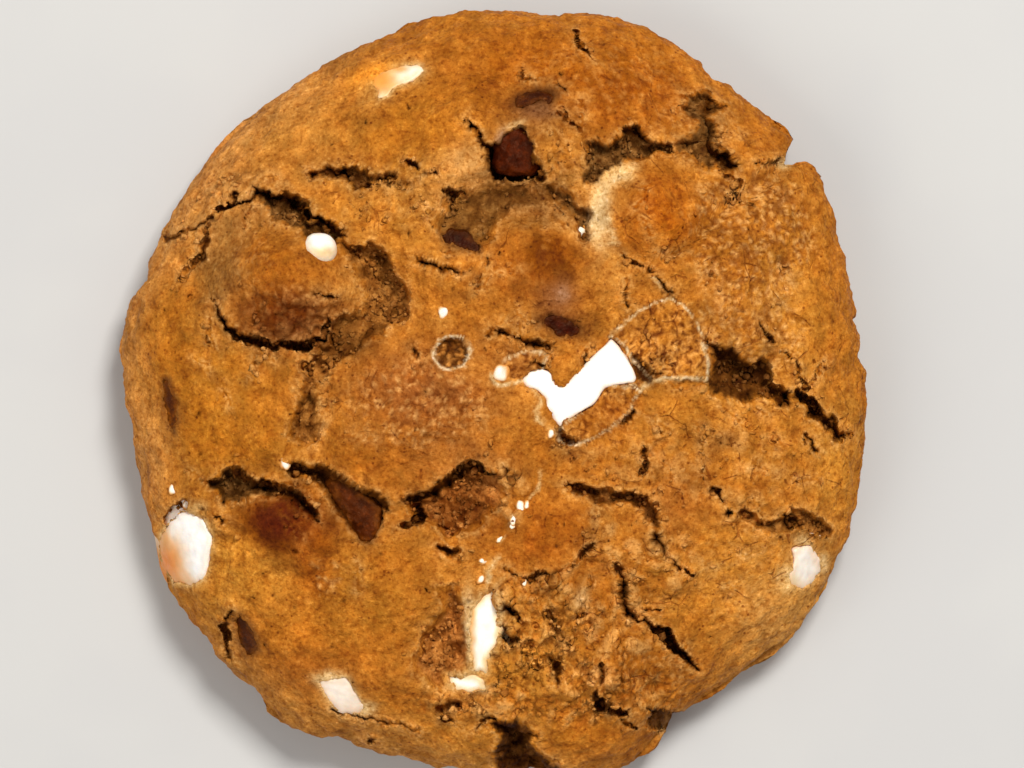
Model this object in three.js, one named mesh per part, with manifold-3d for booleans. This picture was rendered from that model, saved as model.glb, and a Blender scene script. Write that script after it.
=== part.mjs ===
// A thick, round, soft-baked cookie: a domed body with a cracked crust, and pieces of dark and
// white chocolate that sit in open pockets of the crust.
// Millimetres, +Z up. The origin is the middle of the underside, which rests on z = 0.
import * as THREE from 'three';
import { mergeVertices } from 'three/addons/utils/BufferGeometryUtils.js';
import Module from 'manifold-3d';

const wasm = await Module();
wasm.setup();

// ---- Driving dimensions ----
// Distance from the middle to the widest ring, every 12 degrees anticlockwise from +X.
const OUTLINE = [
  46.6, 46.7, 47.7, 49.9, 48.8, 49.5, 49.9, 48.2, 48.1, 46.9,
  46.3, 46.1, 46, 45.8, 47, 45.7, 45, 45.9, 46.8, 47.1,
  47.9, 46.5, 47.3, 48.9, 49.3, 46.2, 46.3, 47.8, 47.8, 47.4,
];
const CROWN = 21.5;          // height of the plain dome
const WAIST = 6.2;           // height of the widest ring
const TUCK = 2.2;            // how far the foot lies inside the widest ring
const SHOULDER_POWER = 3.2;  // a higher power makes the top flatter
const SHOULDER_ROUND = 0.55; // a lower one makes the shoulder steeper
const RIM_CALM = 4;          // swellings fade over the last quarter of the radius
const CRUST_GRAIN = 0.22;    // height of the crust's fine unevenness
const GAP = 0.35;            // clearance between a chocolate piece and its pocket

// Shares of the surface given to the top, the side and the underside, and the body's fineness.
const BODY_DETAIL = 13;
const TOP_SHARE = 0.68;
const SIDE_SHARE = 0.18;
const RING_SPREAD = THREE.MathUtils.degToRad(67.5);

// How a crack is cut: the distance between two sections, the share of the width left at the floor,
// how uneven its sides are, how far it wanders, and how far the cut reaches above the crust.
const CRACK_STEP = 2;
const CRACK_FLOOR = 0.4;
const CRACK_RAGGED = 0.24;
const CRACK_WANDER = 0.12;
const CRACK_LIP = 0.1;
const CRACK_HEADROOM = 5;

// A chocolate block's form: power 2 is an ellipsoid and a higher one is closer to a box.
const BLOCK_POWER = 3.6;
const BLOCK_RAGGED = 0.07;
const LARGE_BLOCK = 6;

// Swellings (+) and hollows (-) of the top: [x, y, half length, half width, height].
const SWELLINGS = [
  [-25.6, 14.5, 10.5, 9.2, 3.4], // cracked mound in the northwest
  [19.8, 23.3, 8.2, 7.2, 2.8],   // round mound over a chunk in the northeast
  [-8.8, -3, 15.5, 11.5, 3],     // the large middle mound
  [-23.8, -16.8, 7.5, 6, 2],
  [6.9, 13.3, 11, 9, 2],
  [-5, 28.9, 5, 4.2, 1.5],
  [6.3, 33.3, 6, 6.5, 1.8],
  [6.9, -18, 7, 6, 1.2],
  [18.8, -20.5, 6, 6, 1.2],
  [18.8, -34.3, 8.5, 7, 1.6],
  [1.3, 24, 9, 4.8, -2],         // basin north of the middle
  [-13.8, 13.5, 6, 8, -2.2],     // valley between the two western mounds
  [-22.5, -3, 4, 7, -1.4],
  [-6.3, -31, 5.5, 7, -1.6],     // rough pit in the south
  [32, 2.8, 7, 4, -2],           // hollow in the east
  [4.5, -45.5, 5, 6, -2.5],      // gash in the south rim
];

// Slow waves of the crust: [length, direction in degrees, phase, height].
const WAVES = [[23, 20, 0.4, 0.3], [17, 95, 2.1, 0.28], [13, 150, 4.4, 0.22], [9.5, 60, 1.2, 0.16]];

// Cracks: each is a run of [x, y, width, depth].
const CRACKS = [
  // northwest: the deep hollow and the valley that runs down between the mounds
  [[-35.8, 22.1, 0.6, 1.2], [-33, 24, 1, 2.2], [-30, 24.8, 1.6, 3], [-27, 23.9, 3.4, 4.5],
    [-24, 22.8, 4.2, 6], [-21.2, 21, 2.4, 4.5], [-18.1, 18.8, 2.8, 4]],
  [[-17.2, 18, 3, 3], [-14.8, 15.5, 4.6, 3.4], [-13.4, 12.5, 5, 3.6], [-14.4, 9, 4.2, 3.8],
    [-18.1, 6.4, 3.5, 4], [-21.4, 3.6, 3, 4.2],
    [-22.6, -0.5, 2.8, 4.5], [-22.6, -4.2, 2.6, 4], [-23, -7, 1.2, 2]],
  [[-34, 11.2, 0.6, 1], [-32, 8, 1, 2.5], [-29.2, 6.8, 1.1, 3], [-26.2, 5.9, 1.2, 3.2],
    [-23.1, 6.1, 1, 2.5], [-20.2, 7.4, 0.6, 1.5]],
  // north: the slot, its broken end, and the crevices round the dark chunk
  [[-22.1, 27.4, 0.9, 1.8], [-19.8, 28.1, 1.6, 3], [-17.8, 27, 2.1, 3.5], [-16, 26.4, 1.4, 2.5],
    [-12.2, 27.6, 0.8, 1.5]],
  [[-10.1, 29, 0.8, 1.5], [-8.2, 27.4, 0.9, 2], [-6.8, 27.2, 0.7, 1.2]],
  [[-5.4, 25.5, 0.7, 1.5], [-4, 25, 0.7, 1.6], [-2, 25.8, 0.6, 1]],
  [[-3, 34.8, 0.8, 1.5], [-1.8, 32.2, 1.1, 3], [-0.6, 30, 1.1, 3.5], [-0.5, 27.2, 1.4, 4],
    [2.5, 26.4, 1.8, 4], [4.8, 26.9, 1.6, 3.6], [6.5, 26.1, 0.9, 2]],
  [[9.4, 23.8, 1.4, 1.6], [11, 22, 2.4, 2.6], [12.8, 20, 1.6, 1.6]],
  // northeast: the crevice under the north lip, the gully from the rim, and the rim's notch
  [[10.5, 26.5, 1.5, 2], [12.2, 29, 3, 3.5], [15.2, 30.2, 3.2, 4.5], [18.1, 31.2, 3.8, 5.6],
    [21, 30.5, 2.6, 5], [24.5, 30.4, 3.2, 4.5]],
  [[26.5, 39, 1, 1], [26.1, 37, 3.2, 2.6], [26.5, 34.2, 3.8, 4], [27.2, 31.5, 4.8, 5.5],
    [28.4, 29.2, 4.4, 5.5], [29.6, 27.4, 1, 2]],
  [[32.8, 29, 0.5, 1], [34.8, 29.2, 0.9, 2], [36.2, 29.1, 1.5, 8], [37.8, 30.2, 3, 16], [39.8, 31.4, 5, 24]],
  [[8, 35.5, 0.8, 1.4], [9.5, 34.6, 0.7, 1.3], [10.8, 32.9, 0.8, 1.6]],
  // middle: short slits and the undercut of the raised plate
  [[-9.2, 16.8, 0.8, 1.8], [-7.5, 16.1, 1.1, 2.5], [-5, 15.8, 0.9, 2.4], [-3, 15.1, 0.6, 1.2]],
  [[-1.1, 8, 0.8, 1.6], [1.6, 7.8, 1.5, 3], [4.5, 6.4, 1.5, 3], [7.2, 5.6, 0.9, 1.8]],
  // southwest: the edges of the large mound, the red hollow and the west pocket
  [[-25.1, -8.4, 0.8, 1.5], [-23.2, -9, 1.5, 2.5], [-20.8, -9.4, 1.2, 3], [-16.8, -11, 1.2, 3.2],
    [-13, -13, 0.8, 2.4]],
  [[-10.2, -13, 1, 2], [-8.8, -12.5, 1.9, 4], [-5.5, -10.6, 1.8, 4.2], [-3, -8.5, 1.8, 4],
    [-0.8, -9.6, 1, 2.6], [3.2, -10, 0.9, 1.8]],
  [[-9.5, -13.5, 2.5, 4], [-8.2, -15.8, 1.2, 3], [-6.2, -17.2, 1.1, 2.6], [-4.8, -19.8, 0.9, 1.6]],
  [[-35.5, -11.5, 1, 1.6], [-33.2, -10.8, 3, 4.5], [-31, -11.1, 4, 6], [-28.5, -11.4, 2.4, 5],
    [-25, -11.4, 1.5, 4], [-23.4, -12.5, 1.1, 3], [-21.5, -15.1, 0.9, 2]],
  // south: the rough pit and the gash that opens at the rim
  [[-4.8, -23.5, 2, 1], [-5.5, -27.4, 4, 1.6], [-6.8, -30.5, 6, 2], [-7, -33.5, 5.6, 2], [-5, -37, 3, 1.4]],
  [[-6.8, -38.8, 1.4, 2], [-5.2, -38.5, 1.7, 2.4], [-4, -38, 1, 1.6]],
  [[0, -40, 1, 1.6], [1.8, -41, 2.5, 4], [2.9, -43.2, 4.6, 6], [4.6, -46.5, 6, 6.5], [6, -50, 7, 3]],
  // east: the flat-floored hollow and the crack that runs from it to the rim
  [[26.2, 7.8, 1.1, 2.2], [27.8, 5.5, 3, 3.4], [30, 3.4, 5, 4], [32.8, 1.5, 4.6, 4], [35.8, -0.6, 2.2, 4.4],
    [38.8, -1, 2, 4.6], [40.5, -2.5, 1.9, 4.2], [43, -4.4, 2, 3], [45, -5.2, 1.5, 2]],
  [[32.5, 9.2, 0.6, 1], [34.2, 7.2, 0.9, 1.8], [36.2, 5.9, 0.7, 1.2]],
  [[37, 5.5, 0.6, 1], [38.1, 3.5, 0.8, 1.4], [38.4, 1, 0.8, 1.6]],
  [[38.8, -5.2, 0.8, 1.2], [40.1, -6.5, 1, 1.6], [41.2, -6.9, 0.6, 1]],
  // southeast: the long broken cracks
  [[26.8, -12, 1.1, 1.6], [28, -12.4, 0.8, 1.4]],
  [[29.4, -14.5, 1.1, 2.6], [31.2, -14.6, 1.4, 3], [33.2, -15.9, 1.2, 2.6], [36.5, -15.4, 1.2, 3.2],
    [39.2, -15.6, 1.1, 2.8], [42, -17, 1.2, 1.8]],
  [[9, -11, 1.5, 1.8], [11.8, -11.8, 2.2, 3], [14.2, -12.5, 2.6, 2.4], [17.5, -13.2, 3, 1.8],
    [19.5, -14.5, 2.2, 2], [20.1, -16.8, 1.4, 3], [21, -19.2, 1.1, 2.8],
    [22.8, -21.2, 0.8, 2], [24.9, -21.9, 0.6, 1]],
  [[15.2, -20.8, 0.9, 1.2], [16.2, -23.8, 1.8, 3], [17.1, -26.5, 2.2, 4.2], [18.9, -27.5, 1.2, 3.2],
    [20.6, -29, 1.6, 4.4], [22.8, -31.2, 1.2, 4], [25.2, -34, 0.9, 2]],
  [[18.8, -6.8, 0.7, 1.4], [18.4, -8.5, 0.8, 1.6], [17.9, -10, 0.9, 2]],
  [[3.8, -22.5, 0.6, 1], [6, -22.2, 1, 2.2], [8.2, -21.9, 0.7, 1.4], [10.5, -20.5, 0.8, 1.2]],
  [[1.8, -29.2, 1.4, 2.2], [2.9, -30.8, 1.1, 2]],
  [[7.1, -33, 1.4, 1.6], [8.1, -34, 1.5, 2.2], [8.6, -35.8, 0.8, 1.6]],
  [[13, -36.8, 1, 1.8], [13.6, -38.8, 1.5, 3], [15.5, -38.8, 1.1, 2.2], [17, -40.2, 0.8, 1.6]],
  [[18.8, -38.2, 1.1, 2.5], [19.8, -40, 2, 4], [21.8, -39.8, 1.3, 3], [23.4, -39.2, 1, 3.4]],
];

// The popped bubble near the middle: a small round crater.
const BUBBLE = { x: -5, y: 5.2, radius: 2, depth: 1.6 };

// Chocolate pieces, each a rounded block: at [x, y], size [length, width, thickness], turn in
// degrees from +X, and how far it stands proud of the crust.
const DARK_PIECES = {
  dark_chunk_north: { at: [2.8, 30.4], size: [6, 8.4, 5], turn: -8, proud: 0.5 },
  dark_tip_north: { at: [5.1, 36.9], size: [5.2, 2.6, 2.6], turn: 12, proud: 0.4 },
  dark_chunk_basin: { at: [-4, 19.9], size: [4.5, 2.6, 2.6], turn: -15, proud: 0.5 },
  dark_chip_middle: { at: [8.4, 9.3], size: [4.8, 3.2, 3], turn: -12, proud: 0.6 },
  dark_chunk_southwest: { at: [-17.4, -14.2], size: [9.4, 4.4, 5], turn: -46, proud: 0.6 },
  dark_chunk_flank: { at: [-31.2, -29.9], size: [4.2, 6.2, 3], turn: 38, proud: 0.4 },
  dark_sliver_west: { at: [-40, -1.1], size: [2, 6.2, 2.4], turn: 0, proud: 0.4 },
};
const WHITE_PIECES = {
  white_streak_northwest: { at: [-12.5, 39.5], size: [7.5, 2.8, 2.8], turn: 25, proud: 0.4 },
  white_bead_northwest: { at: [-20.9, 19.2], size: [4.2, 3.8, 3.6], turn: 0, proud: 1.2 },
  white_chunk_west: { at: [-37.8, -18.6], size: [6.4, 9.6, 4], turn: 10, proud: 0.5 },
  white_chunk_south: { at: [-18.4, -36.8], size: [5.4, 4.8, 3.4], turn: -35, proud: 0.5 },
  white_bar_south: { at: [-1, -28.2], size: [3, 9.2, 3.2], turn: 8, proud: 0.5 },
  white_foot_south: { at: [-3.1, -35.6], size: [4.8, 2.1, 2.4], turn: -4, proud: 0.5 },
  white_chunk_southeast: { at: [38.8, -21.2], size: [4.2, 5.8, 3.6], turn: -18, proud: 0.5 },
};

// The melted white slab near the middle, seen from above, and how thick it is.
const SLAB = {
  outline: [
    [15.2, 7], [16.5, 5.8], [17.5, 3.5], [17.6, 1.5], [13.8, 1.2], [12.5, -0.5], [10.6, -2], [8.6, -4],
    [7.4, -3], [6.4, -1.1], [4.4, 1.6], [6.4, 2.8], [7.6, 1.2], [9.4, 1.6], [11.2, 2.6], [12.5, 5.1],
  ],
  thick: 3,
  proud: 0.3,
  edge: 0.3,
};

const FINISH = {
  crust: new THREE.MeshStandardMaterial({ color: 0xb06e2c, roughness: 0.8, metalness: 0 }),
  dark: new THREE.MeshStandardMaterial({ color: 0x4a2013, roughness: 0.42, metalness: 0 }),
  white: new THREE.MeshStandardMaterial({ color: 0xfcf1e0, roughness: 0.5, metalness: 0 }),
};

// ---- Form of the plain body ----
function outlineRadius(angle) {
  const count = OUTLINE.length;
  const turn = THREE.MathUtils.euclideanModulo(angle / (2 * Math.PI), 1) * count;
  const step = Math.floor(turn);
  const f = turn - step;
  const [a, b, c, d] = [-1, 0, 1, 2].map((k) => OUTLINE[(step + k + count) % count]);
  return b + 0.5 * f * (c - a + f * (2 * a - 5 * b + 4 * c - d + f * (3 * (b - c) + d - a)));
}

function swelling(x, y) {
  let sum = 0;
  for (const [cx, cy, halfLength, halfWidth, height] of SWELLINGS) {
    const q = ((x - cx) / halfLength) ** 2 + ((y - cy) / halfWidth) ** 2;
    if (q < 1) sum += height * (1 - q) ** 1.5;
  }
  return sum;
}

function waves(x, y) {
  let sum = 0;
  for (const [length, degrees, phase, height] of WAVES) {
    const direction = THREE.MathUtils.degToRad(degrees);
    const along = x * Math.cos(direction) + y * Math.sin(direction);
    sum += height * Math.sin((2 * Math.PI * along) / length + phase);
  }
  return sum;
}

function topHeight(x, y) {
  const share = Math.min(Math.hypot(x, y) / outlineRadius(Math.atan2(y, x)), 1);
  const dome = (1 - share ** SHOULDER_POWER) ** SHOULDER_ROUND;
  const calm = Math.min(1, RIM_CALM * (1 - share));
  return WAIST + (CROWN - WAIST) * dome + calm * (swelling(x, y) + waves(x, y));
}

function topNormal(x, y) {
  const step = 0.5;
  const slopeX = (topHeight(x + step, y) - topHeight(x - step, y)) / (2 * step);
  const slopeY = (topHeight(x, y + step) - topHeight(x, y - step)) / (2 * step);
  return new THREE.Vector3(-slopeX, -slopeY, 1).normalize();
}

// ---- Seeded randomness, from -1 to 1 ----
function randomFrom(seed) {
  let state = seed;
  return () => {
    state = (state * 1664525 + 1013904223) % 4294967296;
    return state / 2147483648 - 1;
  };
}

// ---- Meshes and booleans ----
function positionsOnly(geometry) {
  geometry.deleteAttribute('normal');
  geometry.deleteAttribute('uv');
  return mergeVertices(geometry, 1e-4);
}

function faceOutwards(positions, faces) {
  let volume = 0;
  const corner = (i) => new THREE.Vector3(positions[3 * i], positions[3 * i + 1], positions[3 * i + 2]);
  for (let f = 0; f < faces.length; f += 3) {
    volume += corner(faces[f]).dot(corner(faces[f + 1]).cross(corner(faces[f + 2])));
  }
  if (volume > 0) return faces;
  const flipped = [];
  for (let f = 0; f < faces.length; f += 3) flipped.push(faces[f], faces[f + 2], faces[f + 1]);
  return flipped;
}

function toSolid(positions, faces) {
  return new wasm.Manifold(new wasm.Mesh({
    numProp: 3,
    vertProperties: new Float32Array(positions),
    triVerts: new Uint32Array(faceOutwards(positions, faces)),
  }));
}

function geometryToSolid(geometry) {
  return toSolid(Array.from(geometry.attributes.position.array), Array.from(geometry.index.array));
}

// The largest connected body of a cut solid, without loose scraps.
function solidToGeometry(solid) {
  const { vertProperties, triVerts } = solid.getMesh();
  const owner = Array.from({ length: vertProperties.length / 3 }, (_, i) => i);
  const root = (i) => {
    let node = i;
    while (owner[node] !== node) node = owner[node];
    owner[i] = node;
    return node;
  };
  for (let f = 0; f < triVerts.length; f += 3) {
    owner[root(triVerts[f + 1])] = root(triVerts[f]);
    owner[root(triVerts[f + 2])] = root(triVerts[f]);
  }
  const sizes = new Map();
  for (let f = 0; f < triVerts.length; f += 3) {
    const body = root(triVerts[f]);
    sizes.set(body, (sizes.get(body) ?? 0) + 1);
  }
  const [largest] = [...sizes].sort((a, b) => b[1] - a[1])[0];
  const kept = [];
  for (let f = 0; f < triVerts.length; f += 3) {
    if (root(triVerts[f]) === largest) kept.push(triVerts[f], triVerts[f + 1], triVerts[f + 2]);
  }
  const geometry = new THREE.BufferGeometry();
  geometry.setAttribute('position', new THREE.BufferAttribute(new Float32Array(vertProperties), 3));
  geometry.setIndex(kept);
  return geometry;
}

// ---- The plain body: a ball of even triangles, pressed into a dome on a flat foot ----
function plainBody() {
  const ball = positionsOnly(new THREE.IcosahedronGeometry(1, BODY_DETAIL));
  const random = randomFrom(11);
  const place = ball.attributes.position;
  for (let i = 0; i < place.count; i += 1) {
    const down = (1 - place.getZ(i)) / 2;
    const angle = Math.atan2(place.getY(i), place.getX(i));
    const rim = outlineRadius(angle);
    let radius = rim;
    let height = 0;
    if (down <= TOP_SHARE) {
      const ring = Math.sqrt(Math.max(down, 0) / TOP_SHARE);
      radius = (rim * Math.sin(RING_SPREAD * ring)) / Math.sin(RING_SPREAD);
      height = topHeight(radius * Math.cos(angle), radius * Math.sin(angle));
      height += CRUST_GRAIN * random() * Math.min(1, RIM_CALM * (1 - ring));
    } else if (down <= TOP_SHARE + SIDE_SHARE) {
      const fall = (down - TOP_SHARE) / SIDE_SHARE;
      radius = rim - TUCK * fall * fall;
      height = WAIST * (1 - fall);
    } else {
      const under = (1 - down) / (1 - TOP_SHARE - SIDE_SHARE);
      radius = (rim - TUCK) * Math.sqrt(Math.max(under, 0));
    }
    place.setXYZ(i, radius * Math.cos(angle), radius * Math.sin(angle), height);
  }
  return geometryToSolid(ball);
}

// ---- Cracks: a jagged wedge lofted along the crack's run ----
function crackWedge(run, seed) {
  const random = randomFrom(seed);
  const path = new THREE.CatmullRomCurve3(run.map(([x, y]) => new THREE.Vector3(x, y, 0)));
  const widthAndDepth = run.map(([, , width, depth]) => new THREE.Vector3(width, depth, 0));
  const sizes = new THREE.CatmullRomCurve3(widthAndDepth);
  const count = Math.max(2, Math.round(path.getLength() / CRACK_STEP));
  const positions = [];
  for (let i = 0; i <= count; i += 1) {
    const here = path.getPoint(i / count);
    const along = path.getTangent(i / count);
    const { x: width, y: depth } = sizes.getPoint(i / count);
    const side = new THREE.Vector3(-along.y, along.x, 0);
    const left = (width / 2) * (1 + CRACK_RAGGED * random());
    const right = (width / 2) * (1 + CRACK_RAGGED * random());
    const shift = CRACK_WANDER * Math.min(width, CRACK_STEP) * random();
    const point = (offset) => here.clone().addScaledVector(side, offset + shift);
    const middle = topHeight(here.x, here.y);
    const floor = middle - depth * (1 + (CRACK_RAGGED / 2) * random());
    const lips = [left, -right].map((offset) => point(offset));
    const surface = lips.map((p) => topHeight(p.x, p.y));
    const roof = Math.max(middle, ...surface) + CRACK_HEADROOM;
    const floorLeft = point(left * CRACK_FLOOR);
    const floorRight = point(-right * CRACK_FLOOR);
    positions.push(lips[0].x, lips[0].y, roof, lips[0].x, lips[0].y, surface[0] + CRACK_LIP);
    positions.push(floorLeft.x, floorLeft.y, floor, floorRight.x, floorRight.y, floor);
    positions.push(lips[1].x, lips[1].y, surface[1] + CRACK_LIP, lips[1].x, lips[1].y, roof);
  }
  const corners = 6;
  const faces = [];
  for (let i = 0; i < count; i += 1) {
    for (let k = 0; k < corners; k += 1) {
      const a = i * corners + k;
      const b = i * corners + ((k + 1) % corners);
      faces.push(a, b, b + corners, a, b + corners, a + corners);
    }
  }
  for (let k = 1; k < corners - 1; k += 1) {
    const end = count * corners;
    faces.push(0, k + 1, k, end, end + k, end + k + 1);
  }
  return toSolid(positions, faces);
}

function bubbleCrater() {
  const ball = positionsOnly(new THREE.IcosahedronGeometry(BUBBLE.radius, 2));
  ball.scale(1, 1, (2 * BUBBLE.depth) / BUBBLE.radius);
  ball.translate(BUBBLE.x, BUBBLE.y, topHeight(BUBBLE.x, BUBBLE.y) + BUBBLE.depth);
  return geometryToSolid(ball);
}

// ---- Chocolate ----
// A rounded block lying in the crust; clearance makes it bigger all round, for its pocket.
function chocolateBlock({ at: [x, y], size, turn, proud }, seed, clearance) {
  const random = randomFrom(seed);
  const detail = Math.max(...size) > LARGE_BLOCK ? 2 : 1;
  const block = positionsOnly(new THREE.IcosahedronGeometry(1, detail));
  const place = block.attributes.position;
  for (let i = 0; i < place.count; i += 1) {
    const direction = new THREE.Vector3().fromBufferAttribute(place, i);
    const powers = direction.toArray().reduce((sum, part) => sum + Math.abs(part) ** BLOCK_POWER, 0);
    const reach = (1 + BLOCK_RAGGED * random()) / powers ** (1 / BLOCK_POWER);
    const half = new THREE.Vector3(...size).multiplyScalar(0.5).addScalar(clearance);
    place.setXYZ(i, ...direction.multiplyScalar(reach).multiply(half).toArray());
  }
  const normal = topNormal(x, y);
  const turned = THREE.MathUtils.degToRad(turn);
  const long = new THREE.Vector3(Math.cos(turned), Math.sin(turned), 0);
  long.addScaledVector(normal, -long.dot(normal)).normalize();
  const across = normal.clone().cross(long);
  const frame = new THREE.Matrix4().makeBasis(long, across, normal);
  const middle = new THREE.Vector3(x, y, topHeight(x, y)).addScaledVector(normal, proud - size[2] / 2);
  block.applyMatrix4(frame.setPosition(middle));
  return block;
}

// The slab lies level, its top just above the crust round its middle.
function chocolateSlab(clearance) {
  const shape = new THREE.Shape(SLAB.outline.map(([x, y]) => new THREE.Vector2(x, y)));
  const slab = new THREE.ExtrudeGeometry(shape, {
    depth: SLAB.thick - 2 * SLAB.edge,
    steps: 1,
    bevelThickness: SLAB.edge + clearance,
    bevelSize: SLAB.edge,
    bevelOffset: clearance - SLAB.edge,
    bevelSegments: 1,
  });
  const heights = SLAB.outline.map(([x, y]) => topHeight(x, y));
  const crust = heights.reduce((sum, height) => sum + height, 0) / heights.length;
  slab.translate(0, 0, crust + SLAB.proud - SLAB.thick + SLAB.edge);
  return positionsOnly(slab);
}

// ---- The cookie ----
const cookie = new THREE.Group();
let body = plainBody();

CRACKS.forEach((run, index) => {
  body = body.subtract(crackWedge(run, 100 + index));
});
body = body.subtract(bubbleCrater());

function addPiece(name, geometry, pocket, material) {
  body = body.subtract(geometryToSolid(pocket));
  const piece = new THREE.Mesh(geometry, material);
  piece.name = name;
  cookie.add(piece);
}

[[DARK_PIECES, FINISH.dark], [WHITE_PIECES, FINISH.white]].forEach(([pieces, material], kind) => {
  Object.entries(pieces).forEach(([name, piece], index) => {
    const seed = 500 + 100 * kind + index;
    addPiece(name, chocolateBlock(piece, seed, 0), chocolateBlock(piece, seed, GAP), material);
  });
});
addPiece('white_slab_middle', chocolateSlab(0), chocolateSlab(GAP), FINISH.white);

const crust = new THREE.Mesh(solidToGeometry(body), FINISH.crust);
crust.name = 'cookie';
cookie.add(crust);

export default cookie;
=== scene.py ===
"""A thick, round, soft-baked cookie with a cracked crust and pieces of dark and white chocolate.

Shapes are worked out in millimetres, in the CAD frame (+Z up, origin under the middle), and put
into Blender in metres.
"""
import itertools
import math

import bmesh
import bpy
import numpy as np
from mathutils import Matrix, Vector


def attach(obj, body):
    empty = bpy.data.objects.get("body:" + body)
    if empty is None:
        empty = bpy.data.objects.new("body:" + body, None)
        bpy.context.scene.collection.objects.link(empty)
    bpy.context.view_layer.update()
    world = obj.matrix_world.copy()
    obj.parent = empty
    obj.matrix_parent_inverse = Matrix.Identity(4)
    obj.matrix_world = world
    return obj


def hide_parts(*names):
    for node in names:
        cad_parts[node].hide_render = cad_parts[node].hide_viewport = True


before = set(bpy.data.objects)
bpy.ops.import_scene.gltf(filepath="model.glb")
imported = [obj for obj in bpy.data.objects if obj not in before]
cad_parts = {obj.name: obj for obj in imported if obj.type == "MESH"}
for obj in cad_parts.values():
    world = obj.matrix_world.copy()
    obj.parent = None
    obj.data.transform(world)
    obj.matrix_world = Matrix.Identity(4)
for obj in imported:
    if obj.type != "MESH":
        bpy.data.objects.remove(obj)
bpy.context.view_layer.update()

MM = 0.001

# ---- The plain body: the CAD model's, apart from two of its swellings ----
OUTLINE = [
    46.6, 46.7, 47.7, 49.9, 48.8, 49.5, 49.9, 48.2, 48.1, 46.9,
    46.3, 46.1, 46.0, 45.8, 47.0, 45.7, 45.0, 45.9, 46.8, 47.1,
    47.9, 46.5, 47.3, 48.9, 49.3, 46.2, 46.3, 47.8, 47.8, 47.4,
]  # radius of the widest ring every 12 degrees, anticlockwise from +X
CROWN = 21.5               # height of the plain dome
WAIST = 6.2                # height of the widest ring
TUCK = 2.2                 # how far the foot lies inside the widest ring
SHOULDER_POWER = 3.2       # how flat the dome is
SHOULDER_ROUND = 0.55      # how round its shoulder is
RIM_CALM = 4.0             # how fast the swellings set in, from the rim inwards

# Swellings (+) and hollows (-): x, y, half length, half width, height. The first two, the mounds in
# the northwest and the northeast, differ from the CAD model's by up to 1 mm.
SWELLINGS = [
    (-25.6, 14.5, 10.2, 8.9, 4.4),
    (20.4, 22.9, 7.6, 7.0, 2.8),
    (-8.8, -3.0, 15.5, 11.5, 3.0),
    (-23.8, -16.8, 7.5, 6.0, 2.0),
    (6.9, 13.3, 11.0, 9.0, 2.0),
    (-5.0, 28.9, 5.0, 4.2, 1.5),
    (6.3, 33.3, 6.0, 6.5, 1.8),
    (6.9, -18.0, 7.0, 6.0, 1.2),
    (18.8, -20.5, 6.0, 6.0, 1.2),
    (18.8, -34.3, 8.5, 7.0, 1.6),
    (1.3, 24.0, 9.0, 4.8, -2.0),
    (-13.8, 13.5, 6.0, 8.0, -2.2),
    (-22.5, -3.0, 4.0, 7.0, -1.4),
    (-6.3, -31.0, 5.5, 7.0, -1.6),
    (32.0, 2.8, 7.0, 4.0, -2.0),
    (4.5, -45.5, 5.0, 6.0, -2.5),
]
# Broad waves over the whole top: length, direction in degrees, phase, height.
WAVES = [(23.0, 20, 0.4, 0.3), (17.0, 95, 2.1, 0.28), (13.0, 150, 4.4, 0.22), (9.5, 60, 1.2, 0.16)]

# Nicks (+) and bumps (-) of the rim: angle in degrees, half width in degrees, depth.
RIM_NICKS = [
    (38.5, 2.0, 2.7), (37.4, 3.4, 1.2), (43.0, 3.4, -0.7), (55.0, 3.0, 0.9), (6.0, 3.0, 0.5),
    (97.0, 3.0, 0.4), (103.0, 3.0, -0.4), (136.0, 9.0, -0.5), (161.5, 3.0, 1.2), (173.0, 3.0, -0.3),
    (203.5, 2.6, 0.5), (210.5, 2.6, -0.7), (221.0, 2.6, 0.4), (235.0, 3.0, -0.6), (246.0, 2.6, 0.4),
    (264.0, 3.0, 0.5), (276.0, 4.2, 2.4), (295.0, 4.6, -1.1), (300.0, 1.4, 0.5), (307.5, 5.0, -0.7),
    (317.0, 6.5, -1.0), (329.0, 4.0, -0.3), (336.0, 3.0, 0.4), (80.0, 1.0, 0.3), (350.0, 1.2, 0.3),
    (12.0, 1.0, 0.3),
]

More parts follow.
